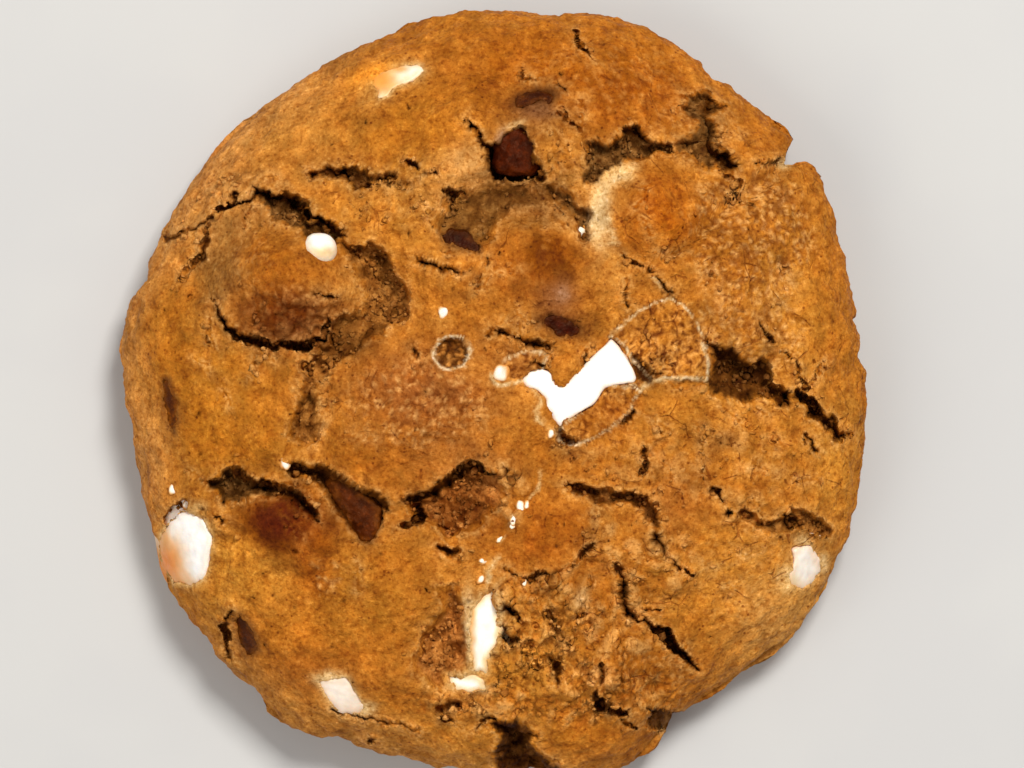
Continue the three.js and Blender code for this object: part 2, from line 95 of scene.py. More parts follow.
# Cracks: how far the left lip stands up, then the run of (x, y, width, depth).
CRACKS = [
    # northwest
    (0.4, [(-38.6, 20.2, 0.5, 0.6), (-36.2, 21.4, 0.5, 0.9), (-34, 23.4, 0.8, 2), (-29.4, 24.6, 0.8, 2.4)]),
    (0, [(-32.2, 24, 0.8, 2), (-31.9, 25.4, 0.5, 1.2)]),
    (0, [(-29.6, 25, 1, 3.4), (-27.6, 25.2, 1.3, 4.4), (-25.6, 24.6, 1.4, 4.6), (-18.2, 19.6, 0.6, 2)]),
    (0, [(-29.6, 23.6, 0.4, 0.8), (-30.6, 21, 0.3, 0.5)]),
    (0, [(-35.8, 21.2, 0.5, 0.5), (-35.5, 19.4, 0.9, 0.8), (-36.2, 17.6, 1, 0.9), (-39, 14.6, 0.4, 0.4)]),
    (1, [(-34.8, 12.2, 0.3, 0.6), (-32.7, 8.7, 0.8, 2), (-31.4, 7.4, 1.1, 3), (-27.4, 6.2, 0.9, 3),
        (-24, 6.2, 1.3, 3.6), (-22, 6.4, 1, 3), (-20.6, 7, 0.8, 2.4), (-20.4, 10, 0.4, 1)]),
    (0, [(-14.8, 13.4, 0.4, 0.8), (-15.9, 11.1, 0.4, 0.8)]),
    (0, [(-21.8, 12.1, 0.5, 0.8), (-20.2, 12.3, 0.8, 1), (-18.8, 12.4, 0.3, 0.5)]),
    (0, [(-35.2, 8, 0.4, 0.6), (-35, 6.6, 0.5, 0.8)]),
    # north
    (0, [(-22.2, 27.3, 1, 2.4), (-21.6, 27.4, 0.9, 2.4)]),
    (0, [(-20.4, 28.1, 1, 3), (-19, 27.8, 1.3, 3.6), (-17.8, 27.4, 1, 3)]),
    (0, [(-17, 26.1, 0.9, 2.6), (-15.4, 26.2, 0.9, 2.6)]),
    (0, [(-13.9, 27.4, 0.8, 2.4), (-12.3, 27.2, 0.9, 2.4)]),
    (0, [(-10, 28.9, 0.8, 1.6), (-9.2, 28.2, 0.6, 1.2)]),
    (0, [(-8.9, 27.1, 0.6, 1.8), (-7, 27.3, 0.5, 1.4)]),
    (0, [(-12.6, 26, 0.5, 0.8), (-10.3, 26, 0.4, 0.6)]),
    (0.3, [(-3.3, 34.6, 0.5, 1), (-2.7, 33.4, 0.9, 2.6), (-0.4, 30.2, 0.8, 4)]),
    (0, [(-5.6, 25.4, 0.6, 1.4), (-4.4, 24.7, 0.7, 1.8), (-3, 25, 0.4, 1)]),
    (0, [(-7.5, 21.7, 0.4, 0.8), (-7.1, 20.8, 0.4, 0.9)]),
    (0, [(3.8, 40, 0.4, 0.7), (5.6, 38.9, 0.4, 0.7)]),
    (0, [(8, 38.4, 0.7, 1.2), (8.9, 37.6, 0.6, 1.2)]),
    (0, [(8.2, 35.3, 0.6, 1), (9.2, 35, 0.7, 1), (8.8, 34.4, 0.4, 0.6)]),
    (0, [(9.8, 33.9, 0.6, 1.6), (10.6, 33, 0.5, 1.4)]),
    (0, [(10.1, 45.5, 0.5, 1.2), (11.2, 43.5, 0.6, 1.5), (12.3, 41.6, 0.4, 0.8)]),
    # northeast
    (0, [(16.4, 32.6, 1.2, 2.4), (17.6, 32.7, 1.5, 3), (18.9, 32.1, 1.3, 3.4), (20.2, 31.4, 0.7, 3),
        (22, 31.1, 0.7, 2.6)]),
    (0, [(26.3, 37.4, 0.6, 1), (27.2, 36.9, 1.3, 2.6), (27, 35.6, 1, 2.4), (28.6, 35.9, 0.8, 1.6)]),
    (0, [(27, 31.4, 1.2, 2.4), (28.4, 29.6, 1.8, 3.4), (29.8, 28.7, 0.9, 2.4)]),
    (0, [(29.2, 27.6, 0.6, 1.2), (31, 26.1, 0.3, 0.6)]),
    (0, [(29.7, 25.2, 0.4, 0.6), (31.2, 23.6, 0.4, 0.6)]),
    (0, [(32.9, 29, 0.4, 0.7), (35.8, 29.2, 0.8, 2)]),
    (0.4, [(16.4, 17.4, 0.4, 1), (17.8, 16.5, 0.6, 1.8), (19.2, 15.9, 0.4, 1), (20.2, 14.8, 0.4, 1),
        (21, 14, 0.7, 2), (22.2, 12.9, 0.6, 1.4)]),
    (0, [(16.2, 14.4, 0.4, 0.8), (16.8, 11.2, 0.5, 1.2)]),
    # middle
    (0.3, [(-9.3, 16.7, 0.7, 1.6), (-7.9, 16.4, 0.9, 2.2), (-6.6, 15.6, 0.9, 2.4), (-5, 15.7, 0.9, 2.2),
        (-3.3, 15.2, 0.4, 1)]),
    (0, [(-0.3, 17, 0.5, 1), (-0.8, 15.9, 0.5, 1)]),
    (0, [(-2, 14.2, 0.4, 0.7), (-2.1, 13.2, 0.5, 0.9)]),
    (0.6, [(-0.6, 8.1, 0.5, 0.8), (4.6, 6.7, 1.2, 3), (7.2, 5.7, 0.5, 1)]),
    (0, [(12, 5.8, 0.5, 1.2), (11.5, 4.4, 0.8, 1.4)]),
    (0, [(-9.6, 5.9, 0.7, 1.4), (-9.2, 5.1, 0.8, 1.6)]),
    (0, [(4.6, 4.3, 0.6, 1.6), (6.2, 3.8, 0.8, 2.4)]),
    (0, [(8.4, -4.4, 0.8, 1.2), (9.2, -5.4, 0.8, 2), (10.6, -5.9, 0.7, 2.2)]),
    (0, [(20.7, 5.1, 0.3, 0.6), (22.6, 3.7, 0.3, 0.6)]),
    (0, [(16.1, -3.3, 0.7, 1.2), (17.3, -2.2, 0.8, 1.2)]),
    # southwest
    (0.9, [(-22, -8.9, 0.9, 1.4), (-19, -9.9, 0.8, 1.8), (-15.4, -12, 1, 2.8), (-12.9, -13.4, 0.7, 1.6)]),
    (0, [(-14, -14, 0.6, 1.8), (-14.1, -16.2, 0.6, 1.8)]),
    (0.9, [(-11, -13, 0.8, 2), (-9.4, -12.6, 1.2, 3.4), (-7, -11.9, 1.4, 4), (-3.6, -9.2, 1.4, 3.8),
        (-2, -8.5, 1.3, 3.4), (-0.6, -9.4, 0.8, 2.4), (1.2, -9.5, 1, 2.6), (3, -9.8, 0.7, 1.6)]),
    (0, [(-11.8, -16.5, 0.4, 0.6), (-8.8, -15.2, 1.5, 3.4), (-8.9, -13.8, 1.4, 3.4)]),
    (0, [(-6.6, -18.8, 0.9, 1.6), (-5, -19.4, 0.9, 1.8), (-3.8, -19, 0.4, 0.8)]),
    (0, [(-31.5, -9.6, 1, 1.4), (-29.6, -10.6, 1.1, 2), (-25.6, -11.6, 1.1, 2.2), (-24, -12.6, 1, 2),
        (-21.6, -15.4, 0.7, 1.4)]),
    (0, [(-34.2, -14.8, 0.9, 1.3), (-33.2, -15.2, 0.7, 1), (-33.4, -16.2, 0.5, 0.7)]),
    (0, [(-40.6, -15.4, 1.1, 1.8), (-39.2, -14.3, 1.3, 2), (-38.3, -13.3, 0.9, 1.4)]),
    # south
    (0, [(-6.6, -38.6, 1, 1.2), (-5.6, -38.2, 1.2, 1.6), (-4.2, -38.6, 0.8, 1.4)]),
    (0, [(-6.8, -39.9, 0.6, 0.9), (-5.4, -39.9, 0.6, 0.9)]),
    (0, [(-2.3, -41.6, 0.4, 0.8), (-1.2, -40.4, 0.6, 1), (0.6, -40, 0.6, 1.4)]),
    # east
    (0, [(36.2, 0, 1.6, 3.6), (36, -0.9, 1.4, 3.4)]),
    (0, [(38, 0.5, 1.4, 3.6), (38.8, -0.4, 1.2, 3), (39.8, -1.6, 1.5, 3.6), (40.8, -2.5, 1, 2.6)]),
    (0, [(32.4, 9.4, 0.4, 0.8), (34.2, 7.4, 0.9, 1.6), (35.4, 6.8, 0.6, 1)]),
    (0, [(36.4, 5.6, 0.4, 0.6), (38.1, 3.2, 0.5, 1.2), (37.8, 2.2, 0.5, 1.2), (38.8, 1.2, 0.7, 1.6)]),
    (0, [(39.4, 1.5, 0.4, 1), (41.6, 4.1, 0.3, 0.6)]),
    (0, [(38.8, -5.2, 0.7, 1.1), (39.8, -5.6, 0.6, 1), (40.3, -6.7, 0.8, 1.3)]),
    (0, [(43.8, -4.6, 0.8, 1.1), (44.8, -4.9, 0.8, 1.2)]),
    # southeast
    (0, [(18.9, -6.5, 0.6, 1), (18.2, -9.6, 0.8, 1.4)]),
    (0, [(20.3, -3.6, 0.4, 0.8), (20.6, -4.9, 0.4, 0.9)]),
    (0, [(25.4, -4, 0.3, 0.6), (26.2, -8, 0.3, 0.6), (25.9, -10.6, 0.4, 0.8)]),
    (0, [(27.2, -11.8, 0.8, 1.6), (28, -12.1, 0.6, 1.2), (28.5, -13.2, 0.5, 0.9)]),
    (0, [(29.2, -14.5, 1, 2.4), (29.6, -14.4, 0.9, 2.4)]),
    (0, [(30.8, -14.3, 1, 1.8), (31.8, -14.7, 1, 1.8)]),
    (0, [(33.2, -15.8, 0.6, 1.6), (34.8, -15.9, 0.5, 1.4)]),
    (0, [(36.1, -15.1, 0.9, 2.4), (37.6, -15.5, 1.1, 3), (38.9, -15.9, 0.9, 2.4)]),
    (0, [(10.4, -11.3, 0.7, 1.2), (12.4, -12.2, 1.4, 2), (14, -12.8, 1, 1.6)]),
    (0.3, [(19.9, -14.8, 1, 2), (20.2, -17, 0.8, 2.4), (21.1, -19.2, 0.8, 2.6), (23.2, -21.6, 0.5, 1.4),
        (24.8, -22, 0.4, 0.9)]),
    (0.3, [(16, -23.2, 1, 2.6), (16.2, -25, 1, 2.6), (17, -27, 1.3, 3.4), (18, -27.8, 0.8, 2.4)]),
    (0, [(18.8, -26.4, 0.6, 1.6), (20.6, -26.4, 0.7, 1.6)]),
    (0.3, [(18.4, -27.6, 0.7, 1.6), (19.8, -28.2, 0.9, 2.4), (21.2, -29.8, 1.4, 4), (22.6, -31, 1.4, 4.2),
        (24, -32.8, 1, 3), (25.3, -33.7, 0.8, 2)]),
    # lower middle
    (0.6, [(1.1, -21.6, 0.4, 0.8), (4, -22.7, 0.4, 0.9), (5.4, -22.3, 1, 2), (8.4, -22, 0.4, 0.8),
        (10, -21, 0.5, 0.8), (12.2, -18.2, 0.6, 1)]),
    (0, [(1.6, -26.2, 1.2, 1.4), (2.6, -27, 1.4, 1.6), (3.3, -27.8, 0.8, 1)]),
    (0, [(1.1, -28.9, 1.2, 2), (2, -29.9, 1.4, 2), (2.9, -30.6, 1, 1.6)]),
    (0, [(7.1, -26.9, 0.8, 1.2), (7.5, -27.2, 0.6, 1)]),
    (0, [(8, -28.8, 0.8, 1.6), (8.8, -30.5, 0.4, 1)]),
    (0, [(4.3, -30.6, 0.6, 1), (4.9, -31.1, 0.5, 0.8)]),
    (0, [(3.9, -32.4, 0.6, 0.9), (4.6, -32.7, 0.5, 0.8)]),
    (0, [(6.6, -33.2, 0.7, 0.9), (7.8, -33.2, 1.1, 1.8), (8.2, -35.5, 0.7, 1.4)]),
    (0, [(13.8, -33.3, 0.5, 1), (13.2, -35.2, 0.5, 1)]),
    (0, [(10.3, -27, 0.5, 0.9), (11, -27.2, 0.5, 0.8)]),
    (0, [(12.9, -36.8, 0.8, 1.4), (13.6, -38.4, 1.4, 2.6), (15.4, -39.2, 1.1, 2), (16.9, -39.3, 0.8, 1.4)]),
    (0, [(16.2, -40.4, 0.5, 0.8), (18, -41, 0.5, 0.8)]),
    # the side
    (0, [(-19.8, -38.6, 0.5, 0.7), (-18, -39.5, 0.5, 0.7), (-9, -41.6, 0.4, 0.4)]),
    (0, [(-40.6, 19.6, 0.8, 0.7), (-38.4, 20.6, 0.6, 0.9)]),
    (0, [(-15.4, -42.7, 0.8, 0.9), (-15, -42.7, 0.7, 0.9)]),
    (0, [(-32.4, -26.6, 0.7, 1), (-33.4, -28.5, 1.1, 1.6), (-33.2, -30.5, 0.9, 1.4),
        (-32.2, -32.6, 0.5, 0.8)]),
]
FAR = 9.0                  # stands for a place that is far outside every edge, in mm
CRACK_WALL = (0.2, 0.09)   # width of a crack's wall: at least, and for each mm of depth
RAGGED = [(2.6, 0.55), (1.1, 0.4), (0.5, 0.22)]  # how edges wander: size and reach of each noise
LIFT_REACH = 4.5           # how far from its crack a raised lip falls away

# Hollows with a floor of open crumb: depth, width of the wall, direction in which the floor falls
# (degrees), height of the crumbs, colour of the floor, outline.
HOLLOWS = [
    (3.4, 1, 60, 0.65, "moist", [
        (-30.2, 26.2), (-28.3, 26), (-27, 25.2), (-25.6, 25.6), (-22.9, 24), (-23, 22.9), (-22.3, 21.9),
        (-18.5, 20.8), (-17.9, 19.4), (-19.2, 18.2), (-23.6, 19.2), (-23.9, 20.6), (-27, 21.6),
        (-27.6, 22.8), (-29.6, 24.4)]),
    (2.2, 0.8, 15, 0.78, "tan", [
        (-19.2, 19.4), (-15.8, 18.7), (-14.7, 19.3), (-13.6, 18.4), (-11.2, 14.6), (-10.4, 12.8),
        (-10.2, 10.8), (-10.9, 9.4), (-12.6, 8), (-14.8, 7), (-17, 5.2), (-19.4, 4.2), (-21, 2.2),
        (-21.4, 0.6), (-20.9, -0.6), (-21.6, -6), (-23.4, -6.4), (-24.2, -5.2), (-25.2, -4.6), (-23.2, 2.4),
        (-23.6, 3.6), (-22.2, 5.2), (-20.4, 6.3), (-19.4, 9.8), (-17.6, 10), (-16.2, 10.8), (-15.9, 12.6),
        (-16, 14.2), (-18.2, 16.6)]),
    (1.6, 0.5, 90, 0.65, "brown", [
        (-22.3, 27.4), (-20.8, 28.5), (-17, 28.4), (-12, 27.4), (-12.8, 26.8), (-14.6, 26.7), (-15.4, 25.9),
        (-17, 25.7), (-17.6, 26.5), (-20.2, 27), (-21.8, 26.7)]),
    (4.6, 0.8, 250, 0.26, "dark", [
        (-1, 31.6), (0.6, 31.3), (1.2, 32.7), (3.8, 33.2), (4.8, 31.6), (6.5, 26.4), (0, 26.8),
        (-0.7, 27.6)]),
    (1.3, 1.7, 200, 0.13, "olive", [
        (-5.8, 24.2), (0.2, 26.8), (5.4, 25.6), (7.4, 24.4), (5.4, 23.6), (2.6, 23.4), (1, 21.6),
        (0.2, 19.4), (-1.6, 18.2), (-3.6, 18.2), (-6.2, 19.4), (-7.2, 20.6), (-7.4, 21.6), (-6.2, 22.6)]),
    (1.9, 1, 0, 0.39, "moist", [
        (6, 26.2), (7.4, 26.6), (8.2, 25.6), (9.6, 25.4), (10.2, 24.2), (11.4, 23.2), (12.2, 23.8),
        (12.4, 22.4), (12, 20.6), (12.8, 19.4), (11.6, 19.2), (10.4, 20.6), (9.8, 22.2), (8.6, 23.4),
        (7, 24.2)]),
    (2.6, 0.9, 90, 0.52, "moist", [
        (11.7, 31), (13, 31.8), (14.6, 31.4), (15.8, 32.8), (17.3, 33.3), (18.7, 33), (19.6, 31.9),
        (22.6, 31.2), (22.8, 29.9), (18.6, 29.8), (17.2, 28.8), (14.2, 28), (13.6, 26.4), (11.4, 26.1),
        (10.9, 27.4), (11.7, 28.4), (10.9, 29.4), (12.2, 30.1)]),
    (3.2, 1.4, -10, 0.45, "moist", [
        (22.4, 31.3), (25.2, 33.4), (25.5, 34.1), (24.2, 34.4), (22.9, 35.6), (24, 36.5), (23.2, 37.7),
        (25, 37.8), (26.6, 38.4), (29.2, 36), (27.6, 34.6), (29.4, 32.2), (28.2, 31.4), (30, 29.5),
        (30.6, 28.2), (28.6, 27.8), (26.6, 28), (24, 29.6), (22.6, 30)]),
    (3.4, 1.2, 20, 0.45, "dark", [
        (26, 7.8), (28.4, 6.4), (30, 6.2), (30.8, 4.8), (32.2, 4.4), (33.4, 4.6), (34.2, 3.8), (34.8, 2.2),
        (37.2, 0.2), (38.4, 1.1), (39.4, -0.4), (41.6, -2.4), (43.2, -3), (44, -4.8), (43.4, -6.4),
        (40.4, -3), (39, -2.8), (38.6, -0.9), (36.9, -0.6), (36.4, -1.3), (35.2, -1.2), (34.4, -0.4),
        (32.8, -0.4), (31.6, -1.2), (26.8, 0.2), (26.5, 1.8), (26.8, 4)]),
    (4, 1, 40, 0.65, "moist", [
        (-35.6, -10.6), (-32.4, -8.9), (-30.8, -9.3), (-29.6, -10.3), (-24.4, -11), (-21.3, -14.8),
        (-21.8, -15.9), (-25.4, -12), (-27.4, -12.6), (-29.6, -12.4), (-31.4, -13.2), (-33.4, -13.5)]),
    (2.4, 0.9, 45, 0.39, "dark", [
        (-26, -8.6), (-24.6, -8.1), (-21, -8.3), (-12.8, -13.2), (-13, -13.8), (-13.8, -13.6),
        (-14.3, -17.6), (-15.2, -18.2), (-17, -17.4), (-21, -11.4), (-23, -10.2), (-25.4, -9.4)]),
    (1.8, 1.4, 100, 1.17, "rusty", [
        (-11.2, -12.9), (-9.8, -12.2), (-8, -12.2), (-6.2, -11.2), (-5.3, -9.8), (-4, -9.5), (-3.6, -8.7),
        (-2.2, -8.1), (-1.2, -9.2), (2.2, -9.1), (3.4, -9.9), (1.4, -10.6), (1.6, -12.6), (-1.6, -16.2),
        (-3.4, -17), (-5.4, -18.6), (-6.2, -16.8), (-7.6, -15.8), (-9.4, -15.6)]),
    (1.6, 1.5, 0, 1.17, "rusty", [
        (-6.6, -23.6), (-5, -23.4), (-3.8, -24.6), (-3, -27), (-2.6, -32.6), (-3.6, -34), (-5.8, -35),
        (-6.4, -36.4), (-8.2, -35.8), (-9.4, -34.4), (-9.8, -32.6), (-8.8, -29.4), (-6, -26.2),
        (-6.6, -24.8)]),
    (5.6, 1.8, 60, 1.56, "dark", [
        (-0.6, -41), (1, -40), (3, -40.4), (5.9, -41.7), (5.6, -43.6), (10, -47), (11, -52), (0.4, -52),
        (-0.1, -44.4), (0.6, -43.2), (0.8, -41.8)]),
    (1.6, 0.5, 60, 0.65, "tan", [
        (30.2, -13.9), (32.2, -14.4), (33.2, -15.6), (36, -15.1), (37, -14.2), (39.2, -14), (42.6, -16.6),
        (42.2, -17.6), (37.4, -16.4), (35.6, -17.2), (33.4, -17), (30.4, -14.9)]),
    (1.6, 0.5, 80, 0.52, "brown", [
        (8.6, -10.8), (10.6, -10.6), (13, -11.4), (17.6, -11.6), (20.6, -13.4), (21, -15), (20.6, -15.9),
        (19.6, -15.8), (18.6, -14.2), (16.8, -13.2), (13.2, -13.4), (9.4, -11.8)]),
    (1.8, 0.5, 0, 0.65, "brown", [
        (15, -20), (16.4, -21.4), (18, -27.4), (17.6, -28.4), (16.2, -27.4), (15.9, -25.6), (15.2, -24.6),
        (15.8, -22.6), (14.4, -20.8)]),
    (2.8, 0.6, 90, 0.78, "brown", [
        (18.4, -37.9), (19.6, -38.6), (24, -39.4), (24, -42), (20.8, -42), (19.2, -40.8), (19.4, -39.8)]),
    (1.5, 0.4, 250, 0.3, "dark", [
        (16.9, 5.2), (21.8, 2.6), (18.4, 1.6), (17.6, 2)]),
    (1.6, 0.5, 40, 0.3, "dark", [
        (7.4, -4.2), (8.8, -4.3), (10.8, -5.6), (10.6, -6.4), (8.8, -6)]),
    (0.9, 1.4, 250, 0.13, "brown", [
        (21, 2), (26.4, 2), (26.4, 0.8), (22.4, 1.1)]),
]

BUBBLE = (-5.0, 5.3, 2.1, 1.5)  # the popped bubble: x, y, radius, depth

# Thin plates of crust round the white slab: how high they lie, and their outline.
PLATES = [
    (0.45, [
        (14.6, 7.4), (16.4, 9), (18, 10.4), (20, 11.3), (21.9, 12.3), (23.4, 11.4), (24.6, 10),
        (25.6, 8.4), (26.1, 6.6), (26.6, 4.4), (26.6, 1.9), (24, 2.2), (21.4, 2.2), (20, 2), (18.8, 3),
        (17.4, 4.2), (16.4, 6)]),
    (0.4, [
        (8.2, -5.2), (8.4, -4), (10.6, -2.2), (12.6, -1), (13.6, 1.2), (17.4, 1.4), (18.2, 0.6),
        (17, -1.8), (15, -3.8), (12, -5.4), (10.4, -6.2), (9, -5.8)]),
    (0.3, [
        (-0.2, 2.2), (2, 4.8), (4, 5.6), (5.6, 5.4), (6.7, 5), (6.3, 3.4), (4, 2), (2, 1.3), (0.4, 1.6)]),
]

# Chocolate: middle, size (length, width, thickness), turn in degrees, height of its top over the
# plain crust, how soft the crust's edge is round it, and the part that the crust leaves open.
DARK_PIECES = {
    "dark_chunk_north": ((2.2, 30.2), (6.4, 6.2, 5.0), -8, -0.9, 0.3, None),
    "dark_tip_north": ((5.2, 36.9), (6.8, 4.2, 2.6), 12, -0.1, 0.7, [
        (2.7, 36.4), (3.2, 37.4), (5, 38), (7, 37.8), (7.8, 37), (7, 36.4), (5.6, 36.6), (4, 35.9),
        (3, 35.8)]),
    "dark_chunk_basin": ((-4.1, 19.2), (6.6, 4.6, 2.6), -18, -0.75, 0.3, [
        (-6.5, 19.8), (-5.4, 20.5), (-3.6, 20.5), (-2.4, 19.7), (-1.4, 18.6), (-1.6, 17.7), (-3.6, 18),
        (-5.6, 18.6)]),
    "dark_chip_middle": ((8.6, 8.6), (6.2, 4.4, 3.0), -14, -0.25, 0.6, [
        (6.2, 9.6), (7.4, 10), (9.4, 9.6), (10.8, 8.6), (11, 7.6), (9.8, 7.1), (8, 7.6), (6.6, 8.4)]),
    "dark_chunk_southwest": ((-16.9, -13.8), (10.4, 6.2, 5.0), -54, -1.0, 0.3, [
        (-20.8, -10), (-18.6, -10.4), (-15.6, -12.4), (-13.8, -13.6), (-14, -16.5), (-14.9, -18.2),
        (-16.8, -17.4), (-17.8, -15.2), (-19.4, -12.6)]),
    "dark_chunk_flank": ((-30.6, -29.7), (4.4, 7.0, 3.0), 20, -0.15, 0.6, [
        (-32.2, -27.6), (-31, -27), (-29.9, -28.2), (-29.2, -30.1), (-29, -31.8), (-30.2, -32.3),
        (-31.3, -31), (-31.9, -29.3)]),
    "dark_sliver_west": ((-39.9, -1.2), (3.2, 8.0, 2.4), 6, -0.1, 0.6, [
        (-40.8, 2), (-40, 2.1), (-39.5, 0.4), (-39.1, -1.6), (-38.9, -3.4), (-39.5, -4.5), (-40.3, -3.4),
        (-40.7, -1), (-40.9, 0.8)]),
}
WHITE_PIECES = {
    "white_streak_northwest": ((-11.7, 39.3), (9.6, 6.0, 2.8), 22, -0.05, 0.5, [
        (-14.6, 38.2), (-14.2, 37), (-13, 37.2), (-12.4, 38.2), (-11, 38.8), (-9.6, 39.4), (-8.4, 40.6),
        (-9.2, 41.2), (-10.8, 41.2), (-12, 40.8), (-13.8, 40.2), (-15, 39.4)]),
    "white_bead_northwest": ((-21.2, 18.3), (4.2, 3.9, 3.6), 18, 1.5, 0.3, None),
    "white_chunk_west": ((-38.6, -18.9), (12.0, 12.4, 4.0), 8, -0.05, 0.3, [
        (-39.4, -15.2), (-37.8, -14.2), (-35.8, -15.4), (-34.9, -17.2), (-35.1, -19.2), (-35.5, -21),
        (-36.1, -22.8), (-37.6, -23.6), (-39.6, -23.3), (-40.9, -21.6), (-41.4, -19.6), (-41.3, -17.6),
        (-40.4, -16)]),
    "white_chunk_south": ((-18.6, -37.1), (8.0, 6.4, 3.4), -35, -0.05, 0.4, [
        (-21.5, -35.5), (-19.8, -35), (-18, -35.1), (-17, -36.6), (-15.9, -38.6), (-16.3, -39.4),
        (-18.4, -39.3), (-19.8, -38.5), (-20.6, -37)]),
    "white_bar_south": ((-1.0, -28.7), (5.8, 13.4, 3.2), 5, -0.05, 0.3, [
        (0.4, -23.4), (0.9, -26), (1, -28.6), (0.7, -30.6), (-0.2, -32), (-0.7, -32.8), (-0.8, -34.2),
        (-2.4, -34), (-2.4, -32.4), (-2.8, -30.6), (-2.8, -27.6), (-2.3, -26), (-1, -24.4)]),
    "white_foot_south": ((-3.2, -35.5), (7.2, 4.6, 2.4), -4, -0.05, 0.3, [
        (-5.5, -34.6), (-4.4, -34.4), (-2.4, -34.7), (-1.2, -35.4), (-0.9, -36.4), (-2.6, -36.6),
        (-4.4, -36.4), (-5.3, -35.8)]),
    "white_chunk_southeast": ((39.2, -21.3), (7.8, 8.0, 3.6), -14, -0.05, 0.4, [
        (37.6, -18.9), (39.6, -18.7), (40.6, -20.2), (40.7, -21.4), (39.8, -23.2), (38.6, -24),
        (37.2, -23.8), (37, -22.4), (37.4, -20.6)]),
}
BLOCK_POWER = 3.6          # how square a block is (2 is a ball)
BEAD_POWER = 2.2
POCKET_SHARE = 0.62        # depth of the crust's opening round a block, as a share of its thickness
SLAB_POCKET_SHARE = 0.7

# The white slab: its outline, its thickness and how high it stands over the crust.
SLAB = [
    (14.7, 7.2), (15.6, 6.2), (16.6, 4.8), (17.4, 3.4), (17.8, 2.2), (17.6, 1.6), (15.4, 1.4), (13.8, 1),
    (13.2, -0.2), (12.4, -1.2), (11, -2), (9.4, -3), (8.4, -3.9), (7.6, -3.2), (6.4, -1.4), (6.6, -0.4),
    (5.4, 0.7), (4.1, 1.1), (3.6, 2), (4.6, 3), (6.2, 3.5), (7.4, 2.9), (7.8, 1.5), (8.8, 1.1), (10.4, 2.8),
    (12.5, 5),
]
SLAB_THICK = 3.0
SLAB_PROUD = 0.3

# Zones where the dough is crumbly: x, y, half length, half width, height of the crumbs.
CRUMBLY = [
    (5.5, -28.5, 7.5, 8, 1.5), (9, -36.5, 11, 5, 1.2), (15.5, -29, 5, 5, 0.9), (17, -9, 9, 5, 0.4),
    (-12, 24, 9, 4, 0.35), (30, -9, 11, 7, 0.4), (20, -21, 6, 7, 0.6), (-2, -38, 6, 2, 1.0),
    (-31, 26, 7, 2, 0.5), (10, 29, 4, 3, 0.7), (12, 4.5, 2.4, 2, 0.4), (-25, 9.5, 6, 4, 0.45),
    (-22, 1, 3, 8, 0.5), (27, 31, 7, 4, 0.4), (6, 22, 5, 2, 0.5), (2, -12, 4, 5, 0.6),
    (20, -37, 5, 4, 0.6), (13, -17.5, 3, 5, 0.7),
]
# Zones of fine wrinkles that catch the light: x, y, half length, half width, depth.
WRINKLED = [
    (32, 20, 10, 10, 0.26), (25, 33, 8, 5, 0.1), (31, 8, 10, 7, 0.18), (20.5, 6.5, 4.6, 4.6, 0.06),
    (-9, -1, 11, 7, 0.18), (14, 40, 12, 6, 0.08), (31, -22, 9, 9, 0.08), (-25, 10, 7, 5, 0.1),
    (-20.5, -22, 2.4, 3, 0.2), (18, -34, 8, 4, 0.14), (-30, 17, 3, 6, 0.1),
]
# Zones of hairline fissures: x, y, half length, half width, strength.
FISSURED = [
    (30, -2, 18, 26, 1), (12, -26, 14, 15, 1), (-9, 0, 12, 9, 0.6), (10, 38, 15, 8, 0.5),
    (-12, 25, 10, 5, 0.8), (28, 22, 14, 12, 0.8), (5, 14, 9, 9, 0.6), (-31, 24, 8, 3, 0.6),
    (-16, -26, 12, 12, 0.25), (-34, 0, 9, 12, 0.2),
]
# Pale streaks of white chocolate in the crust: half width, runs of x, y.
SEAMS = [
    (0.28, [(-0.2, 2.6), (0.6, 1.4), (2.2, 1.3), (4.2, 2)]),
    (0.28, [(4.4, 1.8), (5.5, 0.6), (5.9, -0.6), (5.3, -1.9), (5.6, -3), (6.8, -4), (8, -4.8)]),
    (0.16, [
        (6.2, -8.4), (6, -9.8), (5.8, -11), (4.6, -12.5), (3.2, -13.3), (2.4, -15), (1.8, -17),
        (0.9, -18)]),
    (0.25, [(18.8, 15.4), (19.8, 14.6), (21, 13.4), (22.4, 12.3)]),
    (0.25, [(18.4, 0.9), (18.8, 1.6), (20, 2), (22, 2.1), (24.6, 2.1), (26.4, 1.9)]),
    (0.9, [(12.6, 20.4), (12.9, 22.5), (13.6, 24.8), (14.8, 26.8), (17, 27.9)]),
    (0.4, [(14, 18.9), (15.4, 18.9), (14.6, 20.4), (14.2, 21.8)]),
    (0.35, [(0.6, -20), (-0.3, -21.6), (-0.5, -23)]),
]

# ---- Colours, as they look in the light of the scene (red, green, blue from 0 to 255) ----
LIGHT_LEVEL = 1.12         # brightness of a white level surface in the scene's light
SHEEN = 0.004              # brightness that the surface's own sheen adds
GOLD = (190, 116, 32)
AMBER = (180, 100, 25)
RUST = (170, 88, 22)
SIENNA = (164, 93, 42)
SAND = (216, 148, 76)
FAWN = (192, 130, 62)
HONEY = (201, 125, 41)
STRAW = (218, 152, 72)
UMBER = (104, 48, 14)
OLIVE = (146, 95, 46)
MUD = (126, 82, 40)
COCOA = (92, 49, 15)
CREAM = (240, 200, 140)
TOAST = (226, 148, 62)
UNDERSIDE = (150, 88, 34)
GLINT = (230, 168, 96)
IVORY = (254, 246, 232)
BLUSH = (251, 222, 196)
BLOOM = (116, 70, 34)
SUN = (216, 142, 50)
CRUST_TONE = (187, 113, 37)
CRUST_DARKER = (146, 78, 20)
CRUST_LIGHTER = (220, 146, 58)
